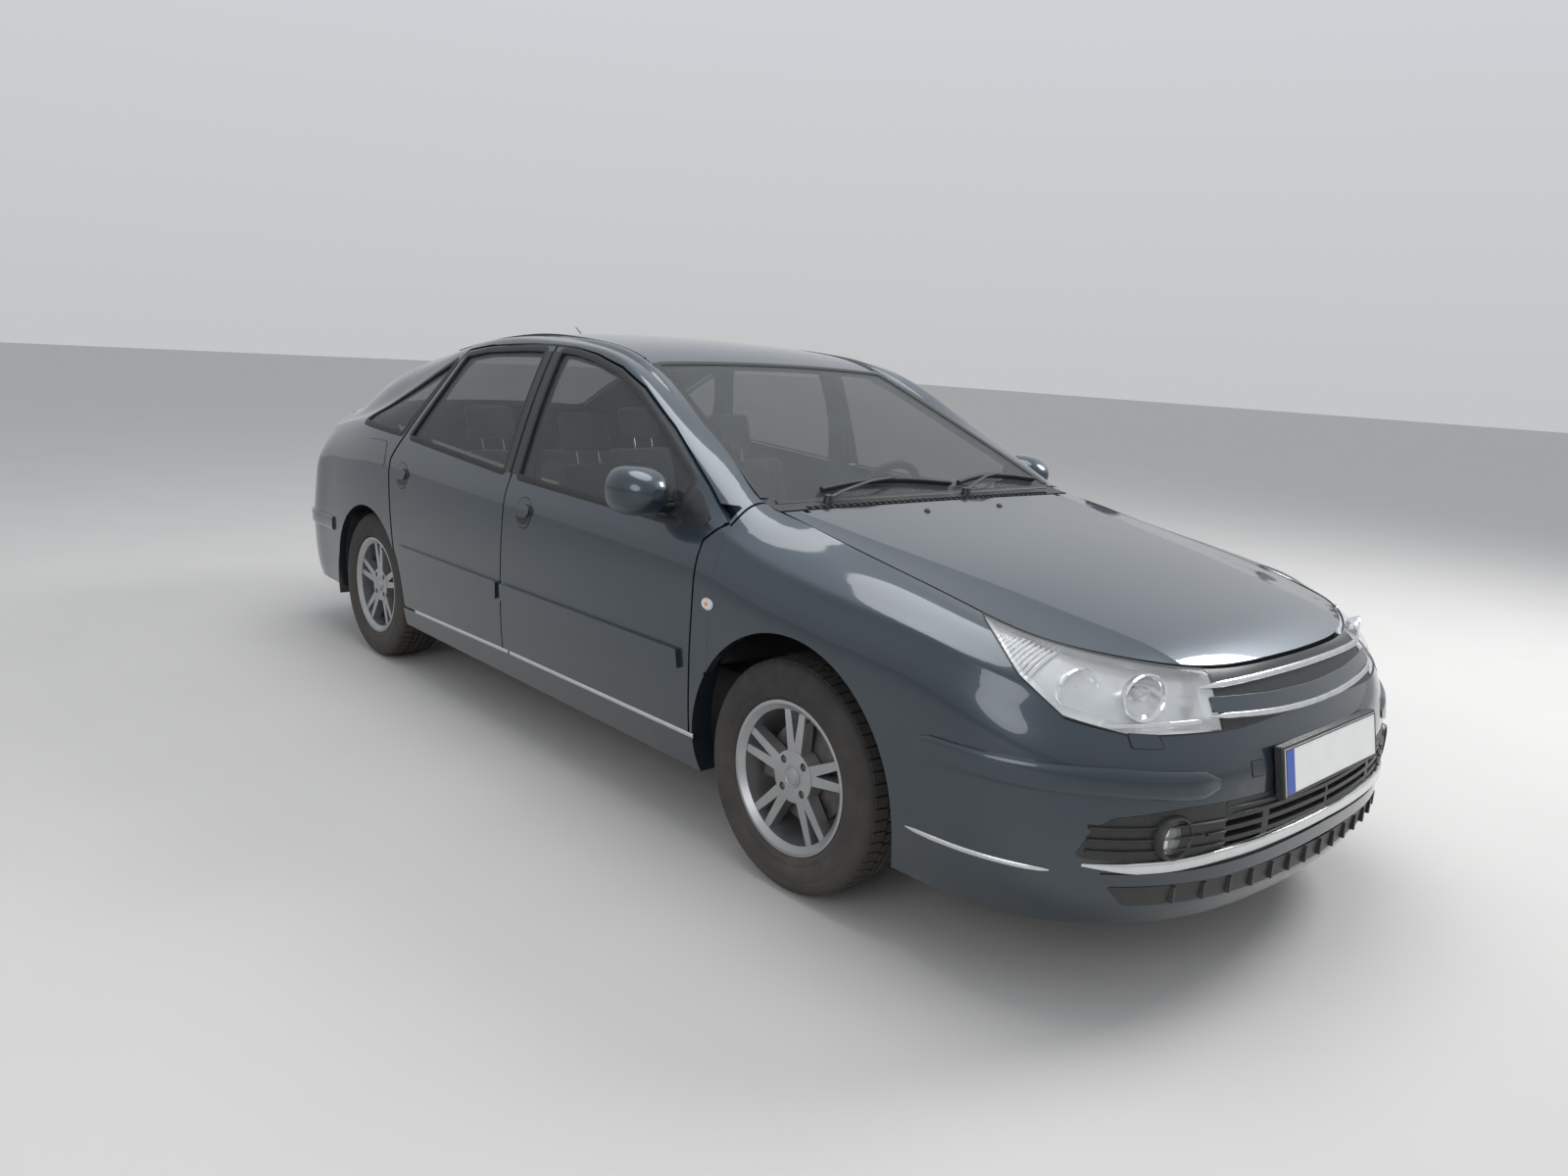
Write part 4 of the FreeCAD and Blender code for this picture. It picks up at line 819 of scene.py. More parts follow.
# Pads: name, size, y on the rear seat, rise and set forward from the back's foot or none for a cushion, seams
# along and across as shares of the width and length, and height of the bolsters
FRONT_PADS = (
    ("cushion", (.500, .500, .140), None, (-.30, .30), (-.12, .16), .026),
    ("back", (.600, .500, .105), (-.040, -.105), (-.30, .30), (-.1, .22), .030),
    ("headrest", HEADREST_SIZE, (.585, -.078), (), (), 0.0),
)
REAR_PADS = (
    ("rear_cushion", (.500, 1.260, .140), 0, None, (-.18, .18), (-.1,), .018),
    ("rear_back", (.580, 1.120, .105), 0, (-.040, -.105), (-.18, .18), (.05,), .018),
    ("rear_headrest_left", HEADREST_SIZE, REAR_REST_Y, (.565, -.078), (), (), 0.0),
    ("rear_headrest_right", HEADREST_SIZE, -REAR_REST_Y, (.565, -.078), (), (), 0.0),
)

# Door cards: the outline and the armrest's ends in side view
DOOR_CARDS = (
    ("front", ((.860, .370), (.860, .890), (-.130, .925), (-.130, .360)), ((.50, .66), (-.02, .66))),
    ("rear", (
        (-.240, .360), (-.240, .930), (-.960, .965), (-1.040, .870), (-1.010, .62), (-.860, .50),
        (-.800, .370),
    ), ((-.32, .68), (-.84, .69))),
)

# Fascia: y, z and half width of each vent, half their height, the screen and the gear lever's profile
VENTS = ((.56, .85, .045), (-.56, .85, .045), (.065, .86, .05), (-.065, .86, .05))
VENT_HALF_HEIGHT = .030
RADIO = ((-.105, .735), (.105, .735), (.105, .805), (-.105, .805))
GEAR_LEVER = (
    (.020, 0), (.009, .02), (.007, .10), (.018, .12), (.022, .145), (.014, .165), (.001, .168),
)


# Settings and operators

class SaloonSettings(bpy.types.PropertyGroup):
    """Sizes and colours of the saloon that a user would change."""

    paint_color: FloatVectorProperty(
        name="Paint", description="Colour of the body paint", subtype="COLOR", size=3, min=0, max=1,
        default=(0.026, 0.041, 0.054))
    paint_roughness: FloatProperty(
        name="Paint roughness", description="How dull the metallic layer under the lacquer is", min=0, max=1,
        default=0.34)
    glass_tint: FloatVectorProperty(
        name="Glass tint", description="Colour of the windows", subtype="COLOR", size=3, min=0, max=1,
        default=(0.42, 0.50, 0.48))
    trim_color: FloatVectorProperty(
        name="Trim", description="Colour of the black outer trim", subtype="COLOR", size=3, min=0, max=1,
        default=(0.016, 0.017, 0.018))
    cloth_color: FloatVectorProperty(
        name="Cloth", description="Colour of the cloth on the seats", subtype="COLOR", size=3, min=0, max=1,
        default=(0.10, 0.105, 0.12))
    strip_width: FloatProperty(
        name="Rubbing strip", description="Height of the rubbing strips on the doors", subtype="DISTANCE",
        unit="LENGTH", default=0.062, min=0.02, max=0.12)
    seal_width: FloatProperty(
        name="Seal", description="Width of the rubber round the windows", subtype="DISTANCE", unit="LENGTH",
        default=SEAL_WIDTH, min=0.004, max=0.03)
    tread_blocks: IntProperty(
        name="Tread blocks", description="Blocks round each tyre", default=64, min=24, max=96)
    plate_width: FloatProperty(
        name="Plate width", description="Width of the blank number plates", subtype="DISTANCE", unit="LENGTH",
        default=0.52, min=0.3, max=0.6)
    show_wipers: BoolProperty(name="Wipers", description="Fit the wipers", default=True)


FINISHES = {}


class Step(bpy.types.Operator):
    """A step that dresses the saloon with the panel's settings"""
    bl_options = {"REGISTER"}

    @staticmethod
    def settings():
        """The panel's settings."""
        return bpy.context.scene.saloon


def make_finishes(settings):
    """Make every finish once, under the name that the pieces call it by."""
    road = (0.16, 0.145, 0.125)
    chrome = (0.72, 0.73, 0.74)
    FINISHES.update({
        "paint": paint_finish(settings),
        "folded": creased_paint(settings),
        "trim": finish(
            "Black trim", settings.trim_color, 0.42, vary=0.25, scale=60, bump=0.15, bump_scale=900,
            dirt=(road, 0.2, 0.6, 0.25)),
        "rubber": finish(
            "Seal rubber", (0.012, 0.012, 0.013), 0.55, vary=0.3, scale=90, bump=0.1, bump_scale=700),
        "gloss": finish("Gloss black", (0.01, 0.01, 0.011), 0.12, vary=0.2, scale=25, rough_vary=0.05),
        "chrome": finish("Bright trim", chrome, 0.14, 1.0, vary=0.05, scale=30, rough_vary=0.12,
                         dirt=(road, 0.2, 0.5, 0.15)),
        "alloy": finish(
            "Painted alloy", (0.40, 0.41, 0.42), 0.38, 0.75, vary=0.07, scale=14, bump=0.04, bump_scale=500,
            dirt=((0.10, 0.085, 0.07), 0.1, 0.55, 0.55), Coat_Weight=0.3, Coat_Roughness=0.2),
        "tyre": finish(
            "Tyre rubber", (0.022, 0.021, 0.020), 0.82, vary=0.3, scale=26, bump=0.25, bump_scale=420,
            dirt=((0.14, 0.12, 0.10), 0.0, 0.7, 0.5)),
        "chassis": finish(
            "Chassis coat", (0.018, 0.018, 0.018), 0.75, vary=0.35, scale=20, bump=0.3, bump_scale=160,
            dirt=(road, 0.1, 0.5, 0.5)),
        "cast": finish(
            "Cast metal", (0.16, 0.155, 0.15), 0.6, 0.7, vary=0.3, scale=35, bump=0.3, bump_scale=350,
            dirt=((0.13, 0.07, 0.035), 0.1, 0.6, 0.6)),
        "steel": finish(
            "Exhaust steel", (0.32, 0.29, 0.26), 0.42, 0.9, vary=0.25, scale=18,
            dirt=((0.12, 0.07, 0.04), 0.1, 0.4, 0.5)),
        "cloth": finish(
            "Upholstery cloth", settings.cloth_color, 0.95, vary=0.25, scale=420, bump=0.5, bump_scale=900,
            Sheen_Weight=0.5, Sheen_Roughness=0.5),
        "cabin": finish(
            "Cabin plastic", (0.045, 0.047, 0.05), 0.6, vary=0.15, scale=80, bump=0.3, bump_scale=1100),
        "white": finish("Plate face", (0.80, 0.80, 0.78), 0.35, vary=0.03, scale=20,
                        dirt=(road, 0.3, 0.7, 0.1), Coat_Weight=0.4),
        "blue": finish("Plate band", (0.02, 0.08, 0.42), 0.35, vary=0.05, scale=20),
        "amber": finish("Amber lamp", (0.75, 0.25, 0.03), 0.2, vary=0.05, scale=20),
        "reflector": finish(
            "Lamp reflector", (0.82, 0.83, 0.85), 0.10, 1.0, vary=0.03, scale=60, rough_vary=0.08),
        # Painted light: the bezel's grey is partly its own silver and partly lightened, since little light
        # reaches inside the headlamp
        "bezel": finish(
            "Lamp bezel", (0.66, 0.68, 0.69), 0.24, 0.55, vary=0.08, scale=30, rough_vary=0.1),
        "red": finish("Red lamp", (0.42, 0.012, 0.012), 0.10, vary=0.08, scale=30, rough_vary=0.05,
                      Coat_Weight=1.0, Coat_Roughness=0.05),
        "glass": glass_finish("Window glass", settings.glass_tint, 0.66),
        "screen": glass_finish("Windscreen glass", (0.55, 0.62, 0.62), 0.60),
        # Painted light: the lamp covers' pale white share stands in for the light of the reflectors behind them
        "cover": glass_finish("Lamp cover", (0.93, 0.94, 0.93), 0.88, haze=0.05, paleness_and_painted_light=0.75),
        "silver": finish(
            "Mirror silver", (0.75, 0.78, 0.80), 0.03, 1.0, vary=0.02, scale=10, rough_vary=0.02),
        "red_cover": glass_finish("Tail lamp cover", (0.62, 0.012, 0.010), 0.40, haze=0.1, paleness_and_painted_light=0.5),
    })


def glass_finish(name, tint, clear, haze=0.02, paleness_and_painted_light=0.10):
    """Thin glass: a clear share and a glossy skin, with faint dust; the last argument sets how pale its own
    share is, and on the lamp covers that pale white is painted light for the lit reflectors behind.
    """
    mat = bpy.data.materials.new(name)
    graph = Graph(mat)
    place = graph.add("TexCoord").outputs["Object"]
    dust = graph.noise(place, 6.0, 6.0)
    dark, light = ([c * share for c in tint] for share in (paleness_and_painted_light, paleness_and_painted_light + 0.06))
    graph.set(
        graph.tree.nodes["Principled BSDF"], Transmission_Weight=0.0, IOR=1.52, Specular_IOR_Level=0.8,
        Base_Color=graph.ramp(dust, dark, light),
        Roughness=graph.span(dust, 0.02 + haze * 0.3, 0.06 + haze * 0.8),
        Alpha=graph.span(dust, 1.0 - clear - 0.02, 1.0 - clear + 0.02 + haze))
    return mat


PAINTED = (
    "front_wings", "body_side_left", "body_side_right", "front_door_left", "front_door_right",
    "rear_door_left", "rear_door_right", "bonnet", "roof_panel", "tailgate", "front_bumper", "rear_bumper",
    "door_mirror_left", "door_mirror_right",
)
NODE_FINISHES = {
    "paint": PAINTED,
    "folded": ("bonnet",),
    "glass": ("front_door_glass_left", "front_door_glass_right", "rear_door_glass_left",
              "rear_door_glass_right", "quarter_glass", "tailgate_glass"),
    "screen": ("windscreen",),
    "trim": ("upper_grille", "lower_grille", "cowl"),
    "chassis": ("floor_pan", "front_subframe", "rear_axle", "bulkhead"),
    "cast": ("engine_block", "front_knuckle_left", "front_knuckle_right"),
    "steel": ("exhaust",),
    "cabin": ("dashboard",),
    "cloth": ("front_seats", "rear_seat"),
    "alloy": ("front_rim_left", "front_rim_right", "rear_rim_left", "rear_rim_right"),
    "tyre": ("front_tyre_left", "front_tyre_right", "rear_tyre_left", "rear_tyre_right"),
    "cover": ("headlamps",),
    "red": ("tail_lamps",),
}


def smooth_shade(obj, skins):
    """Shade a panel's outer faces with the normals of the body's smooth skin."""
    mesh = obj.data
    mesh.shade_smooth()
    mesh.set_sharp_from_angle(angle=math.radians(30))
    normals = [Vector(n.vector) for n in mesh.corner_normals]
    cache = {}
    for polygon in mesh.polygons:
        for loop in polygon.loop_indices:
            vertex = mesh.loops[loop].vertex_index
            key = (vertex, round(polygon.normal.x, 1), round(polygon.normal.y, 1), round(polygon.normal.z, 1))
            if key not in cache:
                point, found = mesh.vertices[vertex].co, None
                for skin in skins:
                    place, _, index, distance = skin.tree.find_nearest(point, SKIN_REACH)
                    if place is not None:
                        normal = skin.smooth_normal(place, index)
                        if normal.dot(polygon.normal) > 0.9 and (found is None or distance < found[0]):
                            found = (distance, normal)
                cache[key] = found[1] if found else None
            if cache[key] is not None:
                normals[loop] = cache[key]
    mesh.normals_split_custom_set(normals)


def panel_skins(name):
    """The smooth skins that a painted panel lies on."""
    tops = {"bonnet": [BONNET], "roof_panel": [ROOF], "tailgate": [ROOF, SIDE[1], SIDE[-1]]}
    if name in tops:
        return tops[name]
    return [SIDE[sign] for side, sign in SIDES if name.endswith(side) or not name.endswith(("left", "right"))]


class SALOON_OT_finishes(Step):
    """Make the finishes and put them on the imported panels, glass, wheels and running gear"""
    bl_idname = "saloon.finishes"
    bl_label = "Finishes"

    def execute(self, context):
        make_finishes(self.settings())
        for key, names in NODE_FINISHES.items():
            for name in names:
                mesh = NODES[name].data
                mesh.materials.clear()
                mesh.materials.append(FINISHES[key])
        for name in PAINTED:
            smooth_shade(NODES[name], panel_skins(name))
        return {"FINISHED"}


class SALOON_OT_stage(Step):
    """Lay the floor, and set the lamps, the world and the camera"""
    bl_idname = "saloon.stage"
    bl_label = "Stage and camera"

    def execute(self, context):
        scene = bpy.context.scene
        mesh = bpy.data.meshes.new("Floor")
        half = FLOOR_HALF
        corners = [(-half, -half, 0), (half, -half, 0), (half, half, 0), (-half, half, 0)]
        mesh.from_pydata(corners, [], [(0, 1, 2, 3)])
        floor = bpy.data.objects.new("Floor", mesh)
        scene.collection.objects.link(floor)
        mesh.materials.append(finish("Pale floor", (0.50, 0.49, 0.475), 0.9, vary=0.015, scale=1.5))
        floor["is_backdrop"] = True
        world = bpy.data.worlds.new("Soft sky")
        scene.world = world
        graph = Graph(world)
        height = graph.add("SeparateXYZ", Vector=graph.add("TexCoord").outputs["Generated"]).outputs["Z"]
        sky = graph.ramp(height, (0.74, 0.75, 0.76), (0.90, 0.94, 1.0), (0.0, 0.5))
        graph.set(graph.tree.nodes["Background"], Color=sky, Strength=0.75)
        for name, place, target, size, power in LAMPS:
            light = bpy.data.lights.new(name, "AREA")
            light.shape = "DISK"
            light.size = size
            light.energy = power
            lamp = bpy.data.objects.new(name, light)
            lamp.location = place
            lamp.rotation_euler = (Vector(target) - Vector(place)).to_track_quat("-Z", "Y").to_euler()
            scene.collection.objects.link(lamp)
        scene.view_settings.view_transform = "Standard"
        self.set_camera(scene)
        return {"FINISHED"}

    @staticmethod
    def set_camera(scene):
        """The camera solved from the photograph."""
        yaw, pitch, roll = CAMERA_YAW, CAMERA_PITCH, CAMERA_ROLL
        forward = Vector((math.cos(pitch) * math.cos(yaw), math.cos(pitch) * math.sin(yaw), -math.sin(pitch)))
        right = Vector((math.sin(yaw), -math.cos(yaw), 0))
        up = right.cross(forward)
        side = right * math.cos(roll) + up * math.sin(roll)
        top = up * math.cos(roll) - right * math.sin(roll)
        camera = bpy.data.cameras.new("Camera")
        camera.sensor_width = SENSOR_WIDTH
        camera.lens = SENSOR_WIDTH * FOCAL_LENGTH / PICTURE_WIDTH
        holder = bpy.data.objects.new("Camera", camera)
        turn = Matrix((side, top, -forward)).transposed().to_4x4()
        holder.matrix_world = Matrix.Translation(CAMERA_PLACE) @ turn
        scene.collection.objects.link(holder)
        scene.camera = holder


class SALOON_OT_seals(Step):
    """Fit the rubber round the windows and the black covers on the door pillars"""
    bl_idname = "saloon.seals"
    bl_label = "Window seals"

    def execute(self, context):
        wide = self.settings().seal_width / SEAL_WIDTH
        section = [(a * wide, b) for a, b in SEAL_SECTION]
        for side, sign in SIDES:
            for name, outline, radius, body in (
                ("front_window_seal", FRONT_WINDOW, 0.012, "front_door_" + side),
                ("rear_window_seal", REAR_WINDOW, 0.012, "rear_door_" + side),
                ("quarter_window_seal", QUARTER_WINDOW, 0.012, "body"),
            ):
                placed = [on_side(p.x, p.y, sign) for p in flat_path(outline, radius, 0.02)]
                turned = [(-a * sign, b) for a, b in section]
                seal = Shape().along(placed, turned, closed=True)
                seal.piece("%s_%s" % (name, side), ("rubber",), body, "black_plastic")
            for name, body, outline in PILLAR_COVERS:
                place = lambda x, z: on_side(x, z, sign)
                cover = Shape().plate(outline, place, 0.0022, radius=0.004)
                cover.piece("%s_%s" % (name, side), ("gloss",), body + side, "black_plastic")
        return {"FINISHED"}


class SALOON_OT_side_trim(Step):
    """Fit the rubbing strips, bright strips, door handles, side lamps, fuel flap and roof ditch strips"""
    bl_idname = "saloon.side_trim"
    bl_label = "Side trim"

    def execute(self, context):
        high = self.settings().strip_width
        for side, sign in SIDES:
            place = lambda x, z: on_side(x, z, sign)
            front = ((-.170, .567), (.884, .573), (.893, .573 - high * .9), (-.165, .567 - high))
            rear = ((-1.050, .563), (-.200, .567), (-.200, .567 - high), (-1.010, .563 - high * .9))
            for end, outline in (("front", front), ("rear", rear)):
                strip = Shape().plate(outline, place, 0.013, radius=0.006).piece(
                    "%s_rubbing_strip_%s" % (end, side), ("paint",), "%s_door_%s" % (end, side), "paint")
                bevel(strip, 0.006, 3)
            self.bright_strips(side, sign)
            seam = [on_side(WING_SEAM_X, z, sign) for z in np.linspace(*WING_SEAM_SPAN, 30)]
            cover = Shape().along(seam, bar_section(.0080, .0005, -.001))
            cover = cover.piece("wing_seam_" + side, ("paint",), "body", "paint")
            smooth_shade(cover, [SIDE[sign]])
            for end, x, z in HANDLES:
                self.handle("%s_handle_%s" % (end, side), "%s_door_%s" % (end, side), x, z, sign)
            x, z = SIDE_LAMP
            lamp = Shape().plate(ellipse(x, z, .026, .017), place, 0.004, spacing=0.01)
            lamp.plate(ellipse(x, z, .021, .012), place, 0.008, spacing=0.008, pick=1)
            lamp.plate(ellipse(x, z, .006, .006), place, 0.0095, spacing=0.008, pick=2)
            bevel(lamp.piece("side_lamp_" + side, ("chrome", "reflector", "amber"), "body", "lamp"), 0.0015)
        self.flush_cover("fuel_flap", FUEL_FLAP, -1, 0.022)
        self.ditch_strips()
        return {"FINISHED"}

    def bright_strips(self, side, sign):
        """The bright strips along the sill."""
        flat = bar_section(0.007, 0.004, -0.003)
        for name, ends in SILL_STRIPS:
            path = [on_side(p.x, p.y, sign) for p in resample(ends, 0.05)]
            Shape().along(path, flat).piece("%s_%s" % (name, side), ("chrome",), "body", "steel")

    def handle(self, name, body, x, z, sign):
        """A flap handle over a painted round recess: a dark ring for its gap, and a gloss black oval under the
        flap as painted shade of the hollow.
        """
        place = lambda a, b: on_side(a, b, sign)
        shape = Shape().plate(ellipse(x, z, .056, .056), place, 0.0008, spacing=0.014, pick=1)
        shape.plate(ellipse(x, z, .050, .050), place, 0.0016, spacing=0.014, pick=0)
        # Painted shade: this gloss black oval stands for the shade inside the recess under the flap
        shape.plate(ellipse(x, z - .014, .042, .028), place, 0.0022, spacing=0.012, pick=1)
        shape.plate(ellipse(x + .002, z + .008, .046, .024), place, 0.011, spacing=0.012, pick=0)
        bevel(shape.piece(name, ("paint", "gloss"), body, "paint"), 0.003, 3)

    @staticmethod
    def flush_cover(name, outline, sign, radius, place=None):
        """A cover flush with its panel, with a dark shut line round it."""
        place = place or (lambda x, z: on_side(x, z, sign))
        middle = sum((Vector(p) for p in outline), Vector((0, 0))) / len(outline)
        inner = [Vector(p) + (middle - Vector(p)).normalized() * 0.004 for p in outline]
        shape = Shape().plate(outline, place, 0.0005, radius=radius, pick=1)
        shape.plate(inner, place, 0.0014, radius=radius, pick=0)
        shape.piece(name, ("paint", "rubber"), "body", "paint")

    @staticmethod
    def ditch_strips():
        """The rubber in the ditches along the roof's edges."""
        edge = SIDE_POINTS[:, -1]
        low, high = DITCH_SPAN
        edge = edge[(edge[:, 0] < high) & (edge[:, 0] > low)]
        for side, sign in SIDES:
            path = [ROOF.nearest(Vector((x, y * sign, z)))[:2] for x, y, z in edge]
            strip = Shape().along(path, bar_section(0.006, 0.0025, -0.003))
            strip.piece("roof_ditch_strip_" + side, ("rubber",), "body", "black_plastic")


class SALOON_OT_nose(Step):
    """Fit the grille bars, bumper strips, fog lamps, bright lip, covers and the blank front plate"""
    bl_idname = "saloon.nose"
    bl_label = "Nose trim"

    def execute(self, context):
        self.upper_grille()
        self.lower_nose()
        for side, sign in SIDES:
            self.corner(side, sign)
        number_plate("front_plate", self.settings().plate_width, FRONT_PLATE, 1)
        return {"FINISHED"}

    @staticmethod
    def across_nose(half, height, section, steps=40):
        """A bar across the nose; height gives z for each y."""
        ys = [half * (2 * i / steps - 1) for i in range(steps + 1)]
        placed = [on_nose(y, height(y)) for y in ys]
        shares = [min(1.0, 0.25 + 6 * (1 - abs(y) / half)) for y in ys]
        return Shape().along(placed, section, share=shares)

    def upper_grille(self):
        """Two bright bars and the painted blade between them."""
        for name, half, height, bow, section in GRILLE_BARS:
            bar = self.across_nose(half, lambda y: height + bow * (y / half) ** 2, section)
            bar.piece(name, ("chrome",), "body", "steel")
        blade = Shape().plate(GRILLE_BLADE, on_nose, 0.006, radius=0.004)
        bevel(blade.piece("upper_grille_blade", ("paint",), "body", "paint"), 0.003)

    def lower_nose(self):
        """The mouth's upper bars, the bright lip, the painted chin and the slot under it."""
        mouth = Shape().plate(MOUTH, on_nose, 0.0012, radius=0.006)
        for z in MOUTH_BARS:
            bar = self.across_nose(.43, lambda y: z, bar_section(.0035, .007, 0))
            mouth.add(bar.verts, bar.faces)
        mouth.piece("mouth_upper_bars", ("trim",), "body", "black_plastic")
        lip_y, lip_z = zip(*LIP_LINE)
        height = lambda y: float(np.interp(abs(y), lip_y, lip_z))
        lip = self.across_nose(.745, height, bar_section(.015, .013, -.004), steps=64)
        lip.piece("bumper_bright_lip", ("chrome",), "body", "steel")
        chin = Shape().plate(CHIN, on_nose, 0.005, radius=0.006)
        bevel(chin.piece("bumper_chin", ("paint",), "body", "paint"), 0.003)
        slot = Shape().plate(CHIN_SLOT, on_nose, 0.001, radius=0.012)
        for i in range(CHIN_RIBS):
            point = on_nose(-.56 + i * .08, .296)[0]
            slot.block(point - Vector((.004, .004, .020)), point + Vector((.008, .004, .020)))
        slot.piece("chin_slot", ("trim",), "body", "black_plastic")

    def corner(self, side, sign):
        """The fog lamp's bezel with its bars, and the trim round one corner of the bumper."""
        place = lambda y, z: on_nose(y * sign, z)
        lamp_y, lamp_z = FOG_LAMP
        bezel = Shape().plate(FOG_BEZEL, place, 0.0015, radius=0.008)
        for z in FOG_BARS:
            rows = [(y, z) for y in np.linspace(.742, .44, 24)]
            path = [place(y, z) for y, z in rows if abs(y - lamp_y) > .046 or abs(z - lamp_z) > .05]
            for run in (path[:12], path[12:]) if z == lamp_z else (path,):
                if len(run) > 2:
                    bar = Shape().along(run, bar_section(.0035, .008, 0))
                    bezel.add(bar.verts, bar.faces)
        bezel.piece("fog_bezel_" + side, ("trim",), "body", "black_plastic")
        self.fog_lamp(side, sign)
        self.bumper_strip(side, sign)
        flash = around(sign, lambda x: .350 - .004 * max(0, x - 1.9), 2.12, 1.775)
        strip = Shape().along(flash, bar_section(.006, .004, -.003), share=tapered(len(flash), .3, 8))
        strip.piece("bumper_bright_strip_" + side, ("chrome",), "body", "steel")
        corner = lambda s, z: on_corner(s, z, sign)
        washer = [((y - x) * math.sqrt(.5), z) for x, y, z in LAMP_WASHER]
        SALOON_OT_side_trim.flush_cover("lamp_washer_cover_" + side, washer, sign, 0.008, corner)
        if sign < 0:
            SALOON_OT_side_trim.flush_cover("tow_eye_cover", TOW_EYE, sign, 0.006, on_nose)

    def fog_lamp(self, side, sign):
        """A round lamp in a black ring, turned halfway from the skin to straight ahead."""
        y, z = FOG_LAMP
        point, normal = on_nose(y * sign, z)
        axis = (normal * 0.5 + Vector((1, 0, 0)) * 0.5).normalized()
        shape = Shape().lathe(point, axis, FOG_RING, 0, 40, False)
        shape.lathe(point, axis, ((.001, -.028), (.020, -.024), (.033, -.012), (.039, -.002)), 1, 40)
        shape.lathe(point, axis, ((.001, -.010), (.008, -.010), (.009, -.024)), 1, 20)
        shape.piece("fog_lamp_" + side, ("trim", "reflector"), "body", "black_plastic")
        lens = Shape().lathe(point, axis, FOG_LENS, 0, 40)
        lens.piece("fog_lens_" + side, ("cover",), "body", "lamp")

    def bumper_strip(self, side, sign):
        """The painted rubbing strips round the corners of the bumpers."""
        section = bar_section(.031, .010, -.003)
        line = around(sign, lambda x: .562 if x < 2.2 else .562 - .02 * (x - 2.2) / .12, 2.318, 1.752)
        strip = Shape().along(line, section, share=tapered(len(line), .35, 10))
        strip.piece("bumper_strip_front_" + side, ("paint",), "body", "paint")
        line = around(sign, lambda x: .540, -2.33, -1.80)
        Shape().along(line, section).piece("bumper_strip_rear_" + side, ("paint",), "body", "paint")


def tapered(count, least, slope):
    """Shares that rise from the least at both ends of a strip to one."""
    return [min(1.0, least + slope * min(i, count - 1 - i) / count) for i in range(count)]


def lamp_shell(node, name, side, sign, end, depth, draw, finishes, slot):
    """A lamp's cover and open housing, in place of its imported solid; draw pulls the housing's back in."""
    out = Vector((end, sign, 0)).normalized()
    points, normals, faces = outer_patch(node, sign, SIDE[sign])
    cover = Shape().thick(points, faces, [n * -LAMP_COVER_THICK for n in normals])
    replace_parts(cover.piece("%s_cover_%s" % (name, side), finishes[:1], "body", slot), node)
    middle = sum(points, Vector()) / len(points)
    inner = [p - n * LAMP_SHELL_GAP for p, n in zip(points, normals)]
    back = [(middle - p) * draw - out * depth for p in inner]
    housing = Shape().thick(inner, faces, back, lid=False)
    housing.piece("%s_housing_%s" % (name, side), finishes[1:], "body", slot)
    return points, normals, faces, middle, out


def lamp_seal(name, side, points, normals, faces):
    """The rubber round a lamp's cover."""
    rim = rim_loop(faces)
    seal = Shape().sweep([points[i] for i in rim], [normals[i] for i in rim], LAMP_SEAL_SECTION, closed=True)
    seal.piece("%s_seal_%s" % (name, side), ("rubber",), "body", "black_plastic")


class SALOON_OT_headlamps(Step):
    """Build the headlamps: clear covers over bowls, bezels and fluted reflectors"""
    bl_idname = "saloon.headlamps"
    bl_label = "Headlamps"

    def execute(self, context):
        for side, sign in SIDES:
            points, normals, faces, middle, out = lamp_shell(
                "headlamps", "headlamp", side, sign, 1, HEADLAMP_DEPTH, 0.10, ("cover", "bezel"), "lamp")
            lamps = Shape()
            for (x, y, z), size in HEADLAMP_BOWLS:
                axis = Vector((.90, .38 * sign, .02)).normalized()
                centre = Vector((x, y * sign, z))
                lamps.lathe(centre, axis, (
                    (.002, -.050), (size * .4, -.046), (size * .72, -.030), (size * .92, -.012), (size, .0),
                    (size + .004, .003), (size + .006, -.003), (size * .9, -.030), (.004, -.054)), 0, 40)
                lamps.lathe(centre, axis, ((.011, -.045), (.012, -.016), (.009, -.009), (.001, -.008)), 1, 20)
            for i in range(FLUTES):
                x = FLUTE_X + FLUTE_STEP * i
                heights = np.linspace(.775 - .3 * (x - FLUTE_X), .826 - .12 * (x - FLUTE_X), 5)
                flute = [on_side(x + .10 * (z - .80), z, sign) for z in heights]
                path = [p - out * (HEADLAMP_DEPTH - .012) + (middle - p) * .10 for p, _ in flute]
                lamps.sweep(path, [n for _, n in flute], FLUTE_SECTION, 0)
            low = [on_nose(y * sign, .668) for y in np.linspace(.47, .70, 12)]
            low = [(p - out * .020, n) for p, n in low]
            lamps.along(low, bar_section(.006, .004, -.004), 1)
            lamps.piece("headlamp_bowls_" + side, ("reflector", "chrome"), "body", "lamp")
            lamp_seal("headlamp", side, points, normals, faces)
        return {"FINISHED"}


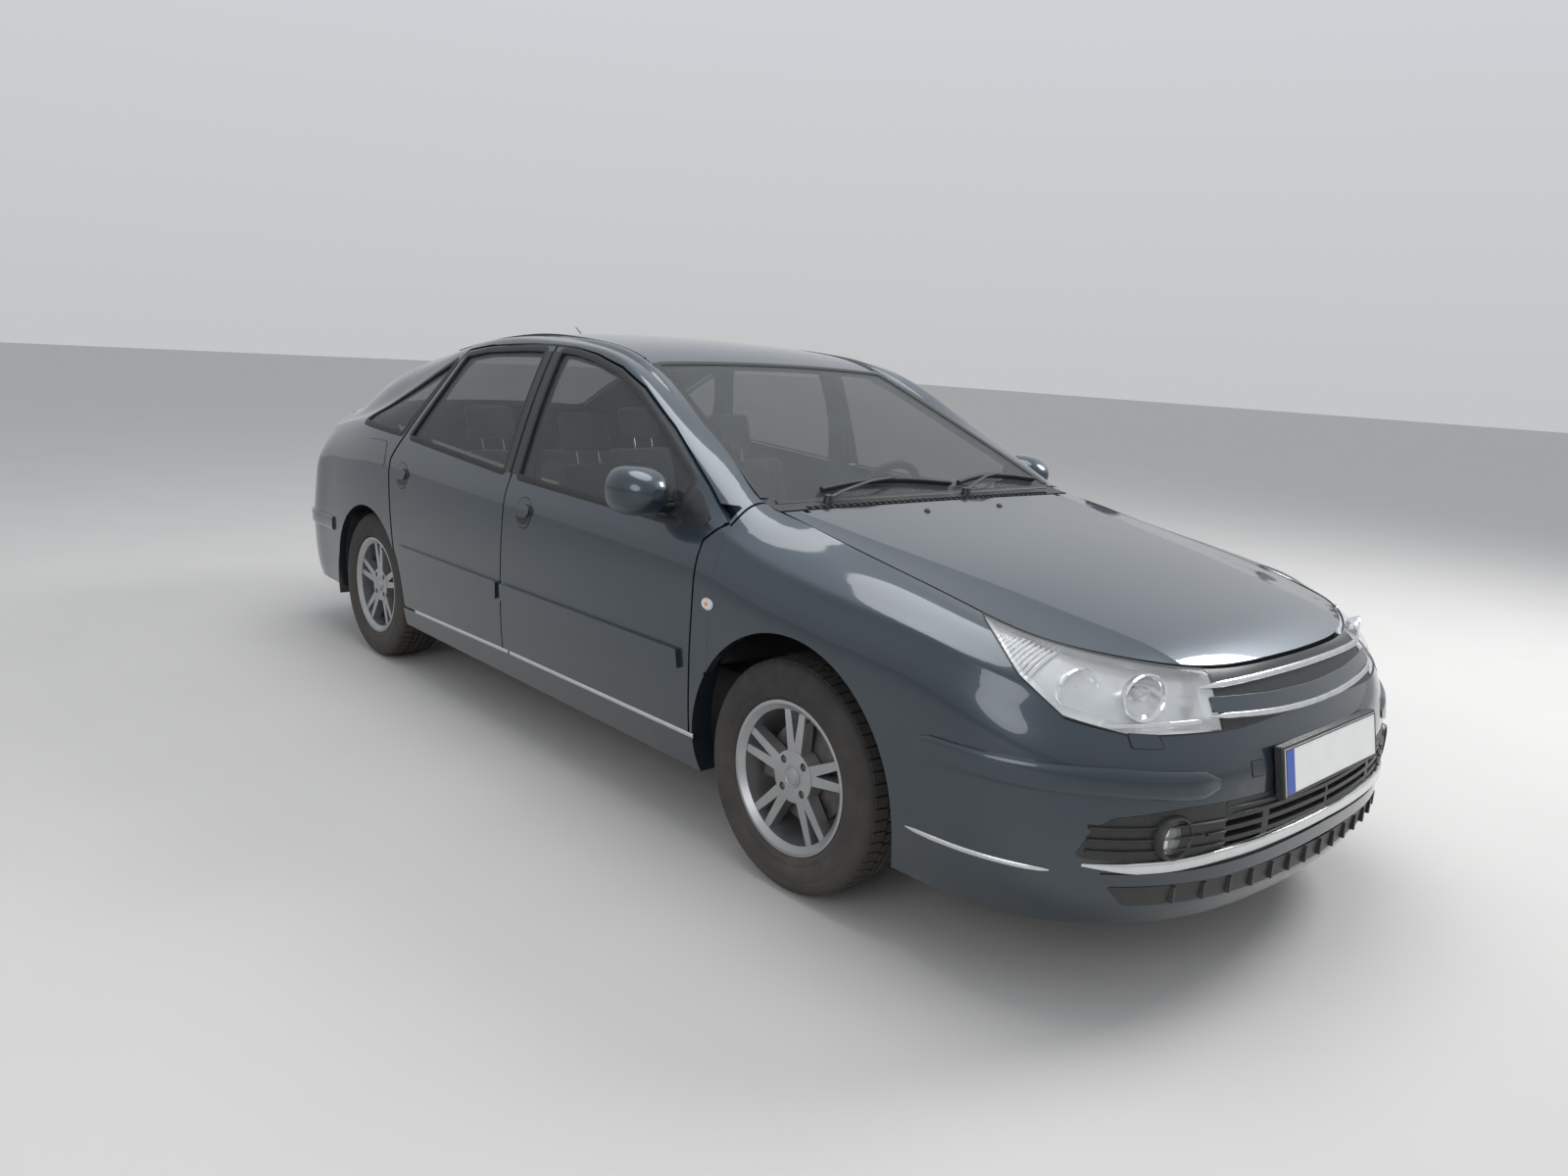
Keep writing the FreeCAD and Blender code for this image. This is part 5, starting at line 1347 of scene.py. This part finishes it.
class SALOON_OT_tail(Step):
    """Dress the tail lamps and fit the blank rear plate and its bright bar"""
    bl_idname = "saloon.tail"
    bl_label = "Tail trim"

    def execute(self, context):
        for side, sign in SIDES:
            points, normals, faces, _, _ = lamp_shell(
                "tail_lamps", "tail_lamp", side, sign, -1, TAIL_LAMP_DEPTH, 0.08, ("red_cover", "red"),
                "tail_lamp")
            self.shoulder_patch(side, sign)
            lamps = Shape()
            for z, size, pick in TAIL_BOWLS:
                point, normal = on_corner(tail_s(z), z, sign, -1)
                centre = point - normal * .012
                lamps.lathe(centre, normal, (
                    (.002, -.024), (size * .6, -.018), (size, .0), (size + .003, .001), (size + .003, -.02)),
                    pick, 32)
                lamps.lathe(centre, normal, ((.008, -.02), (.008, -.004), (.001, -.002)), 2, 16)
            lamps.piece("tail_lamp_bowls_" + side, ("reflector", "amber", "chrome"), "body", "tail_lamp")
            lamp_seal("tail_lamp", side, points, normals, faces)
        number_plate("rear_plate", self.settings().plate_width, REAR_PLATE, -1)
        rear = lambda y, z: on_nose(y, z, x=-3.5)
        bar = Shape().plate(HANDLE_BAR, rear, 0.010, radius=0.008)
        bevel(bar.piece("tailgate_handle_bar", ("chrome",), "tailgate", "steel"), 0.004)
        low = Shape().plate(REAR_INSERT, rear, 0.003, radius=0.02)
        low.piece("rear_bumper_insert", ("trim",), "body", "black_plastic")
        return {"FINISHED"}

    @staticmethod
    def shoulder_patch(side, sign):
        """A painted filler where the body's shoulder stands off the tailgate's corner."""
        def place(x, y):
            for skin in (SIDE[sign], ROOF):
                point, _, index, _ = skin.tree.ray_cast(Vector((x, y * sign, 3)), Vector((0, 0, -1)))
                if point is not None:
                    return point, skin.smooth_normal(point, index)

        patch = Shape().plate(SHOULDER_PATCH, place, 0.0006, spacing=0.012)
        patch = patch.piece("shoulder_patch_" + side, ("paint",), "body", "paint")
        smooth_shade(patch, [SIDE[sign], ROOF])


def tail_s(z):
    """Where a tail lamp's bowls stand across the rear corner's view."""
    return (0.735 - 2.235) * math.sqrt(.5) + 0.02 * (z - .8)


def number_plate(name, width, centre, end):
    """A blank plate with a plain coloured band on a black holder, square to the skin behind it."""
    point, normal = on_nose(centre[0], centre[1], x=3.5 * end)
    normal = Vector((normal.x, 0, normal.z)).normalized()
    across = Vector((0, end, 0))
    turn = Matrix((across, normal.cross(across), normal)).transposed()
    half, high = width / 2, PLATE_HALF_HEIGHT
    holder, plate = Shape(), Shape()
    holder.block((-half - .008, -high - .008, -.012), (half + .008, high + .008, .010))
    plate.block((-half, -high, .010), (half, high, .0125))
    plate.block((-half + .004, .004 - high, .0125), (-half + .044, high - .004, .0130), 1)
    for low, top in (((-half, -high), (half, .003 - high)), ((-half, high - .003), (half, high)),
                     ((-half, -high), (-half + .003, high)), ((half - .003, -high), (half, high))):
        plate.block((*low, .0125), (*top, .0135), 2)
    body = "body" if end > 0 else "tailgate"
    for shape in (holder, plate):
        shape.verts = [point + turn @ v for v in shape.verts]
    bevel(holder.piece(name + "_holder", ("trim",), body, "black_plastic"), 0.003)
    plate.piece(name, ("white", "blue", "trim"), body, "paint", smooth=False)


class SALOON_OT_wheels(Step):
    """Fit treaded tyres, and the caps, bolts and valves of the wheels"""
    bl_idname = "saloon.wheels"
    bl_label = "Wheels"

    def execute(self, context):
        for side, sign in SIDES:
            for place, x, y in AXLES:
                centre = Vector((x, y * sign, AXLE_HEIGHT))
                body = "%s_wheel_%s" % (place, side)
                self.tyre("%s_tyre_tread_%s" % (place, side), body, centre, "%s_tyre_%s" % (place, side))
                self.fittings("%s_wheel_fittings_%s" % (place, side), body, centre, sign)
        return {"FINISHED"}

    def tyre(self, name, body, centre, node):
        """A tyre turned from half its section, with rows of tread blocks that lean with their y."""
        ring = list(TYRE_SECTION) + [(r, -y) for r, y in reversed(TYRE_SECTION)] + [TYRE_SECTION[0]]
        shape = Shape().lathe(centre, (0, 1, 0), ring, steps=96, capped=False)
        count = self.settings().tread_blocks
        for low, high, share, lag in TREAD_ROWS:
            for i in range(count):
                start = 2 * math.pi * (i + lag) / count
                verts = []
                for a in (start, start + 2 * math.pi * share / count):
                    for y in (low, high):
                        lean = a + .012 * (abs(y) / .084)
                        for r in (.311, .321 if abs(y) < .06 else .3165):
                            verts.append(centre + Vector((r * math.cos(lean), y, r * math.sin(lean))))
                shape.add(verts, ((0, 1, 3, 2), (4, 6, 7, 5), (0, 4, 5, 1), (2, 3, 7, 6), (1, 5, 7, 3)))
        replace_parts(shape.piece(name, ("tyre",), body, "tyre"), node)

    @staticmethod
    def fittings(name, body, centre, sign):
        """The cap, four bolts in their seats, and the valve."""
        axis = Vector((0, sign, 0))
        shape = Shape().lathe(centre + axis * HUB_FACE, axis, HUB_CAP, 0, 40)
        for k in range(4):
            a = math.radians(90 * k + 45)
            spot = centre + Vector((BOLT_CIRCLE * math.cos(a), BOLT_FACE * sign, BOLT_CIRCLE * math.sin(a)))
            shape.lathe(spot, axis, ((.0095, 0), (.0095, .011), (.0082, .0125), (.001, .0125)), 1, 6)
            shape.lathe(spot, axis, ((.0108, 0), (.0108, .002), (.0098, .003)), 1, 20, False)
        a = math.radians(72)
        spot = centre + Vector((VALVE_RADIUS * math.cos(a), VALVE_FACE * sign, VALVE_RADIUS * math.sin(a)))
        valve = axis + Vector((-.3 * math.cos(a), 0, -.3 * math.sin(a)))
        shape.lathe(spot, valve, ((.004, 0), (.004, .022), (.003, .024), (.003, .030), (.001, .031)), 2, 12)
        shape.piece(name, ("alloy", "cast", "rubber"), body, "alloy")


class SALOON_OT_top_trim(Step):
    """Fit the wipers, washer jets, cowl louvres, screen seals and the aerial"""
    bl_idname = "saloon.top_trim"
    bl_label = "Wipers and roof trim"

    def execute(self, context):
        if self.settings().show_wipers:
            for name, pivot, end in WIPERS:
                self.wiper(name, pivot, end)
        for side, sign in SIDES:
            point, normal = on_top(1.170, .178 * sign)
            jet = Shape().lathe(point, normal, WASHER_JET, 0, 20)
            jet.piece("washer_jet_" + side, ("trim",), "bonnet", "black_plastic")
        louvres = Shape()
        for i in range(44):
            y = -.60 + i * 1.2 / 43
            low, high = on_top(1.052, y)[0], on_top(1.072, y)[0]
            if abs(abs(y) - .61) > .02:
                louvres.block((low.x, y - .004, low.z - .002), (high.x, y + .004, low.z + .0022))
        louvres.piece("cowl_louvres", ("trim",), "body", "black_plastic")
        self.screen_seals()
        base = on_top(-1.03, 0)[0]
        tip = base + Vector((-.125, 0, .085))
        mast = Shape().lathe(base, (0, 0, 1), AERIAL_FOOT, 0, 24)
        path = [base.lerp(tip, t) + Vector((0, 0, .010 * (1 - t))) for t in (0, .25, .5, .75, 1)]
        section = oval_section(.0028, .0028, 8)
        mast.sweep(path, [Vector((0, 1, 0))] * len(path), section, share=(1, .95, .9, .8, .7))
        mast.piece("aerial", ("trim",), "body", "black_plastic")
        return {"FINISHED"}

    @staticmethod
    def wiper(name, pivot, end):
        """A blade in its frame on a bent arm, from the pivot's y to the blade's end in y."""
        spindle = on_top(1.034, pivot)[0]
        blade = [on_top(.975 - .030 * math.sin(math.pi * t), pivot + .02 + (end - pivot - .02) * t, .009)
                 for t in np.linspace(0, 1, 20)]
        shape = Shape().along(blade, bar_section(.007, .010, -.002))
        shape.along([(p - n * .004, n) for p, n in blade], bar_section(.0015, .003, -.005))
        grip = blade[11][0] + blade[11][1] * .012
        arm = [spindle + Vector((0, 0, .022)), spindle.lerp(grip, .2) + Vector((0, 0, .026)),
               spindle.lerp(grip, .6) + Vector((0, 0, .022)), grip]
        path = resample(arm, 0.03)
        shares = [1.0 - .45 * i / len(path) for i in range(len(path))]
        shape.sweep(path, [Vector((0, 0, 1))] * len(path), bar_section(.0075, .004, -.004), share=shares)
        shape.lathe(spindle, (0, 0, 1), WIPER_SPINDLE, 0, 24)
        shape.piece(name, ("trim",), "body", "black_plastic")

    @staticmethod
    def screen_seals():
        """The rubber round the windscreen and along its foot."""
        edge = SIDE_POINTS[:, -1]
        edge = edge[(edge[:, 0] < 1.008) & (edge[:, 0] > .240)]
        left = [(x, y - .008) for x, y, _ in edge]
        head = left[-1][1] - .03
        foot = left[0][1] - .03
        line = left + [(.236, y) for y in np.linspace(head, -head, 16)] + [(x, -y) for x, y in reversed(left)]
        base = [(1.006, y) for y in np.linspace(-foot, foot, 20)]
        for name, run, size in (("screen_surround", line, .013), ("screen_base_seal", base, .009)):
            placed = [ROOF.hit((x, y, 3.0), DOWN) for x, y in run]
            seal = Shape().along(placed, bar_section(size, .0022, -.003))
            seal.piece(name, ("rubber",), "body", "black_plastic")


class SALOON_OT_mirrors(Step):
    """Fit the mirrors' silvered glass, black feet and the black sails ahead of the windows"""
    bl_idname = "saloon.mirrors"
    bl_label = "Door mirrors"

    def execute(self, context):
        for side, sign in SIDES:
            x, y, z = MIRROR_PLACE
            door = "front_door_" + side
            angles = [2 * math.pi * i / 40 for i in range(40)]
            ring = [(y + .078 * spread(math.cos(a)), z + .065 * spread(math.sin(a))) for a in angles]
            flat = lambda a, b: (Vector((x + .010, a * sign, b)), Vector((-1, 0, 0)))
            glass = Shape().plate(ring, flat, .0, .004, spacing=.03)
            glass.piece("mirror_glass_" + side, ("silver",), door, "glass")
            reach = (.800, .830, .860, .892)
            path = [Vector((x + .040, t * sign, z - .046 - .010 * (.9 - t))) for t in reach]
            foot = Shape().sweep(path, [Vector((0, 0, 1))] * 4, oval_section(.042, .021, 20),
                                 share=(1.06, .98, .94, 1.0))
            foot.piece("mirror_foot_" + side, ("trim",), door, "black_plastic")
            sail = Shape().plate(MIRROR_SAIL, lambda a, b: on_side(a, b, sign), .003, radius=.006)
            bevel(sail.piece("mirror_sail_" + side, ("trim",), door, "black_plastic"), .0015)
        return {"FINISHED"}


def spread(share):
    """A sine or cosine pressed out towards one, which squares a ring off."""
    return math.copysign(abs(share) ** .8, share)


def baked(obj):
    """Give an object the shape that its modifiers make, and drop them."""
    graph = bpy.context.evaluated_depsgraph_get()
    mesh = bpy.data.meshes.new_from_object(obj.evaluated_get(graph))
    obj.modifiers.clear()
    obj.data = mesh
    return mesh


def pad(name, size, frame_at, seams=(), cross=(), bolster=0.0, voxel=0.014, cap=0.013):
    """A stuffed pad of a length, width and thickness: remeshed, swollen by a short cloth run, then sewn.

    seams are lines along it and cross lines over it, as shares of its width and length from the middle.
    """
    length, width, thick = size
    low = (PAD_SHRINK, PAD_SHRINK - width / 2, PAD_SHRINK)
    high = (length - PAD_SHRINK, width / 2 - PAD_SHRINK, thick - PAD_SHRINK)
    obj = Shape().block(low, high).piece(name, ("cloth",), "body", "cloth")
    obj.data.transform(frame_at)
    bevel(obj, min(0.03, thick * 0.3), 3)
    baked(obj)
    remesh = obj.modifiers.new("Remesh", "REMESH")
    remesh.mode = "VOXEL"
    remesh.voxel_size = voxel
    baked(obj)
    swell(obj, cap)
    subdivide = obj.modifiers.new("Subdivision", "SUBSURF")
    subdivide.levels = subdivide.render_levels = 1
    mesh = baked(obj)
    back = frame_at.inverted()
    normals = [v.normal.copy() for v in mesh.vertices]
    for vertex, normal in zip(mesh.vertices, normals):
        u, v, w = back @ vertex.co
        top = min(1.0, max(0.0, w / thick))
        depth = sum(math.exp(-((v - s * width) / SEAM_REACH) ** 2) for s in seams)
        if abs(v) < width * 0.36:
            depth += sum(math.exp(-((u - length * (0.5 + s)) / SEAM_REACH) ** 2) for s in cross)
        side = max(0.0, abs(v) / width - 0.30) / 0.20
        crown = PAD_CROWN * top * (1 - (2 * v / width) ** 2)
        lift = bolster * top * math.sin(math.pi * min(1.0, side)) + crown
        sewn = SEAM_DEPTH * min(1.0, depth) * top
        vertex.co += frame_at.to_3x3() @ Vector((0, 0, lift)) - normal * sewn
    mesh.shade_smooth()
    return obj


def swell(obj, cap):
    """Let the air in a closed pad press it out for a few frames, and keep how far each point may move."""
    rest = [v.co.copy() for v in obj.data.vertices]
    cloth = obj.modifiers.new("Cloth", "CLOTH")
    cloth.settings.quality = 3
    cloth.settings.use_pressure = True
    cloth.settings.uniform_pressure_force = 4.0
    cloth.settings.effector_weights.gravity = 0.0
    cloth.point_cache.frame_end = 16
    for step in range(1, 17):
        bpy.context.scene.frame_set(step)
    mesh = baked(obj)
    for vertex, start in zip(mesh.vertices, rest):
        move = vertex.co - start
        if move.length > cap:
            vertex.co = start + move * (cap / move.length)
    bpy.context.scene.frame_set(1)


def seat_frame(x, y, rise=0.0, forward=0.0):
    """Where a seat's back or headrest stands: its length runs up the lean, its thickness points forward."""
    c, s = math.cos(SEAT_LEAN), math.sin(SEAT_LEAN)
    turn = Matrix(((-s, 0, c), (0, -1, 0), (c, 0, s))).transposed()
    foot = Vector((x + 0.060, y, BACK_FOOT_HEIGHT)) + turn @ Vector((rise, 0, forward))
    return Matrix.Translation(foot) @ turn.to_4x4()


def pad_frame(x, y, shift):
    """Where a pad stands: a cushion lies flat, and a back or a headrest is shifted on the leaning frame."""
    return seat_frame(x, y, *shift) if shift else Matrix.Translation((x, y, CUSHION_HEIGHT))


def node_tree(name):
    """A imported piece's surface, to look for points on it."""
    mesh = NODES[name].data
    return BVHTree.FromPolygons([v.co for v in mesh.vertices], [tuple(p.vertices) for p in mesh.polygons])


def oblong(y, z, half_y, half_z):
    """The corners of a level oblong about its middle."""
    near, far, low, high = y - half_y, y + half_y, z - half_z, z + half_z
    return ((near, low), (far, low), (far, high), (near, high))


class SALOON_OT_seats(Step):
    """Build the padded seats and headrests on their frames, in place of the plain ones"""
    bl_idname = "saloon.seats"
    bl_label = "Seats"

    def execute(self, context):
        for name, size, shift, *stitching in FRONT_PADS:
            right = pad("front_%s_right" % name, size, pad_frame(SEAT_X, -SEAT_Y, shift), *stitching)
            left = bpy.data.objects.new("front_%s_left" % name, right.data.copy())
            left.data.transform(Matrix.Translation((0, 2 * SEAT_Y, 0)))
            bpy.context.scene.collection.objects.link(left)
            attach(left, "body")
        for name, size, y, shift, *stitching in REAR_PADS:
            pad(name, size, pad_frame(REAR_SEAT_X, y, shift), *stitching, voxel=0.018)
        frames = Shape()
        for y in (-SEAT_Y, SEAT_Y):
            frames.block((-.200, y - .200, .232), (.180, y + .200, .400))
            frames.block((-.150, y - .262, .300), (.150, y - .245, .430))
            self.posts(frames, SEAT_X, y, .56)
        frames = frames.piece("front_seat_frames", ("cabin", "chrome"), "body", "trim")
        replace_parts(frames, "front_seats")
        frames = Shape()
        for low, high in ((-.580, -.135), (.135, .580)):
            frames.block((-.940, low, .232), (-.560, high, .400))
        for y in (-REAR_REST_Y, REAR_REST_Y):
            self.posts(frames, REAR_SEAT_X, y, .54)
        frames = frames.piece("rear_seat_frame", ("cabin", "chrome"), "body", "trim")
        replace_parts(frames, "rear_seat")
        self.door_cards()
        self.fascia()
        return {"FINISHED"}

    @staticmethod
    def posts(frames, x, y, height):
        """The two steel posts of a headrest, on a back of a given height."""
        for offset in (-.05, .05):
            frame = seat_frame(x, y + offset, height - .04, -.045)
            axis = frame.to_3x3() @ Vector((1, 0, 0))
            frames.lathe(frame.translation, axis, ((.006, 0), (.006, .100)), 1, 10)

    @staticmethod
    def door_cards():
        """The linings of the doors with their armrests, found by looking out from the cabin."""
        for side, sign in SIDES:
            for end, outline, rest in DOOR_CARDS:
                door = "%s_door_%s" % (end, side)
                tree = node_tree(door)

                def place(x, z):
                    point, _, _, _ = tree.ray_cast(Vector((x, .30 * sign, z)), Vector((0, sign, 0)))
                    return point, Vector((0, -sign, 0))

                card = Shape().plate(outline, place, 0.006, radius=0.03, spacing=0.05)
                path = [place(p.x, p.y)[0] + Vector((0, -.030 * sign, 0)) for p in resample(rest, 0.06)]
                card.sweep(path, [Vector((0, 0, 1))] * len(path), oval_section(.034, .026, 16), 1)
                card.piece("%s_door_card_%s" % (end, side), ("cabin", "cloth"), door, "trim")

    @staticmethod
    def fascia():
        """Vents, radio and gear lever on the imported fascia, found by looking from the seats."""
        tree = node_tree("dashboard")

        def place(y, z):
            point, _, _, _ = tree.ray_cast(Vector((.30, y, z)), Vector((1, 0, 0)))
            return point, Vector((-1, 0, 0))

        detail = Shape()
        for y, z, half in VENTS:
            detail.plate(oblong(y, z, half, VENT_HALF_HEIGHT), place, 0.008, radius=0.012)
            for k in range(-2, 3):
                detail.plate(oblong(y, z + k * .010, half - .006, .0025), place, 0.011, pick=1)
        detail.plate(RADIO, place, 0.006, radius=0.006, pick=1)
        detail.lathe(Vector((.26, 0, .50)), (-.15, 0, 1), GEAR_LEVER, 0, 20)
        detail.piece("fascia_details", ("cabin", "gloss"), "body", "trim")


class SALOON_PT_panel(bpy.types.Panel):
    """Lists the saloon's settings and the steps that dress it"""
    bl_idname = "SALOON_PT_panel"
    bl_label = "Family saloon"
    bl_space_type = "VIEW_3D"
    bl_region_type = "UI"
    bl_category = "Saloon"

    def draw(self, context):
        for name in SaloonSettings.__annotations__:
            self.layout.prop(context.scene.saloon, name)
        for step in STEPS:
            self.layout.operator(step.bl_idname)


STEPS = (
    SALOON_OT_stage, SALOON_OT_finishes, SALOON_OT_seals, SALOON_OT_side_trim, SALOON_OT_nose,
    SALOON_OT_headlamps, SALOON_OT_tail, SALOON_OT_wheels, SALOON_OT_top_trim, SALOON_OT_mirrors,
    SALOON_OT_seats,
)
CLASSES = (SaloonSettings,) + STEPS + (SALOON_PT_panel,)


def register():
    """Add the settings, the steps and the panel."""
    for cls in CLASSES:
        bpy.utils.register_class(cls)
    bpy.types.Scene.saloon = PointerProperty(type=SaloonSettings)


def unregister():
    """Take them away again."""
    del bpy.types.Scene.saloon
    for cls in reversed(CLASSES):
        bpy.utils.unregister_class(cls)


def main():
    """Run every step in order."""
    register()
    for step in STEPS:
        group, name = step.bl_idname.split(".")
        getattr(getattr(bpy.ops, group), name)()
    sizes = {"cad": [list(corner) for corner in CAD_BOX], "visual": [list(corner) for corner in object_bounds()]}


if __name__ == "__main__":
    main()
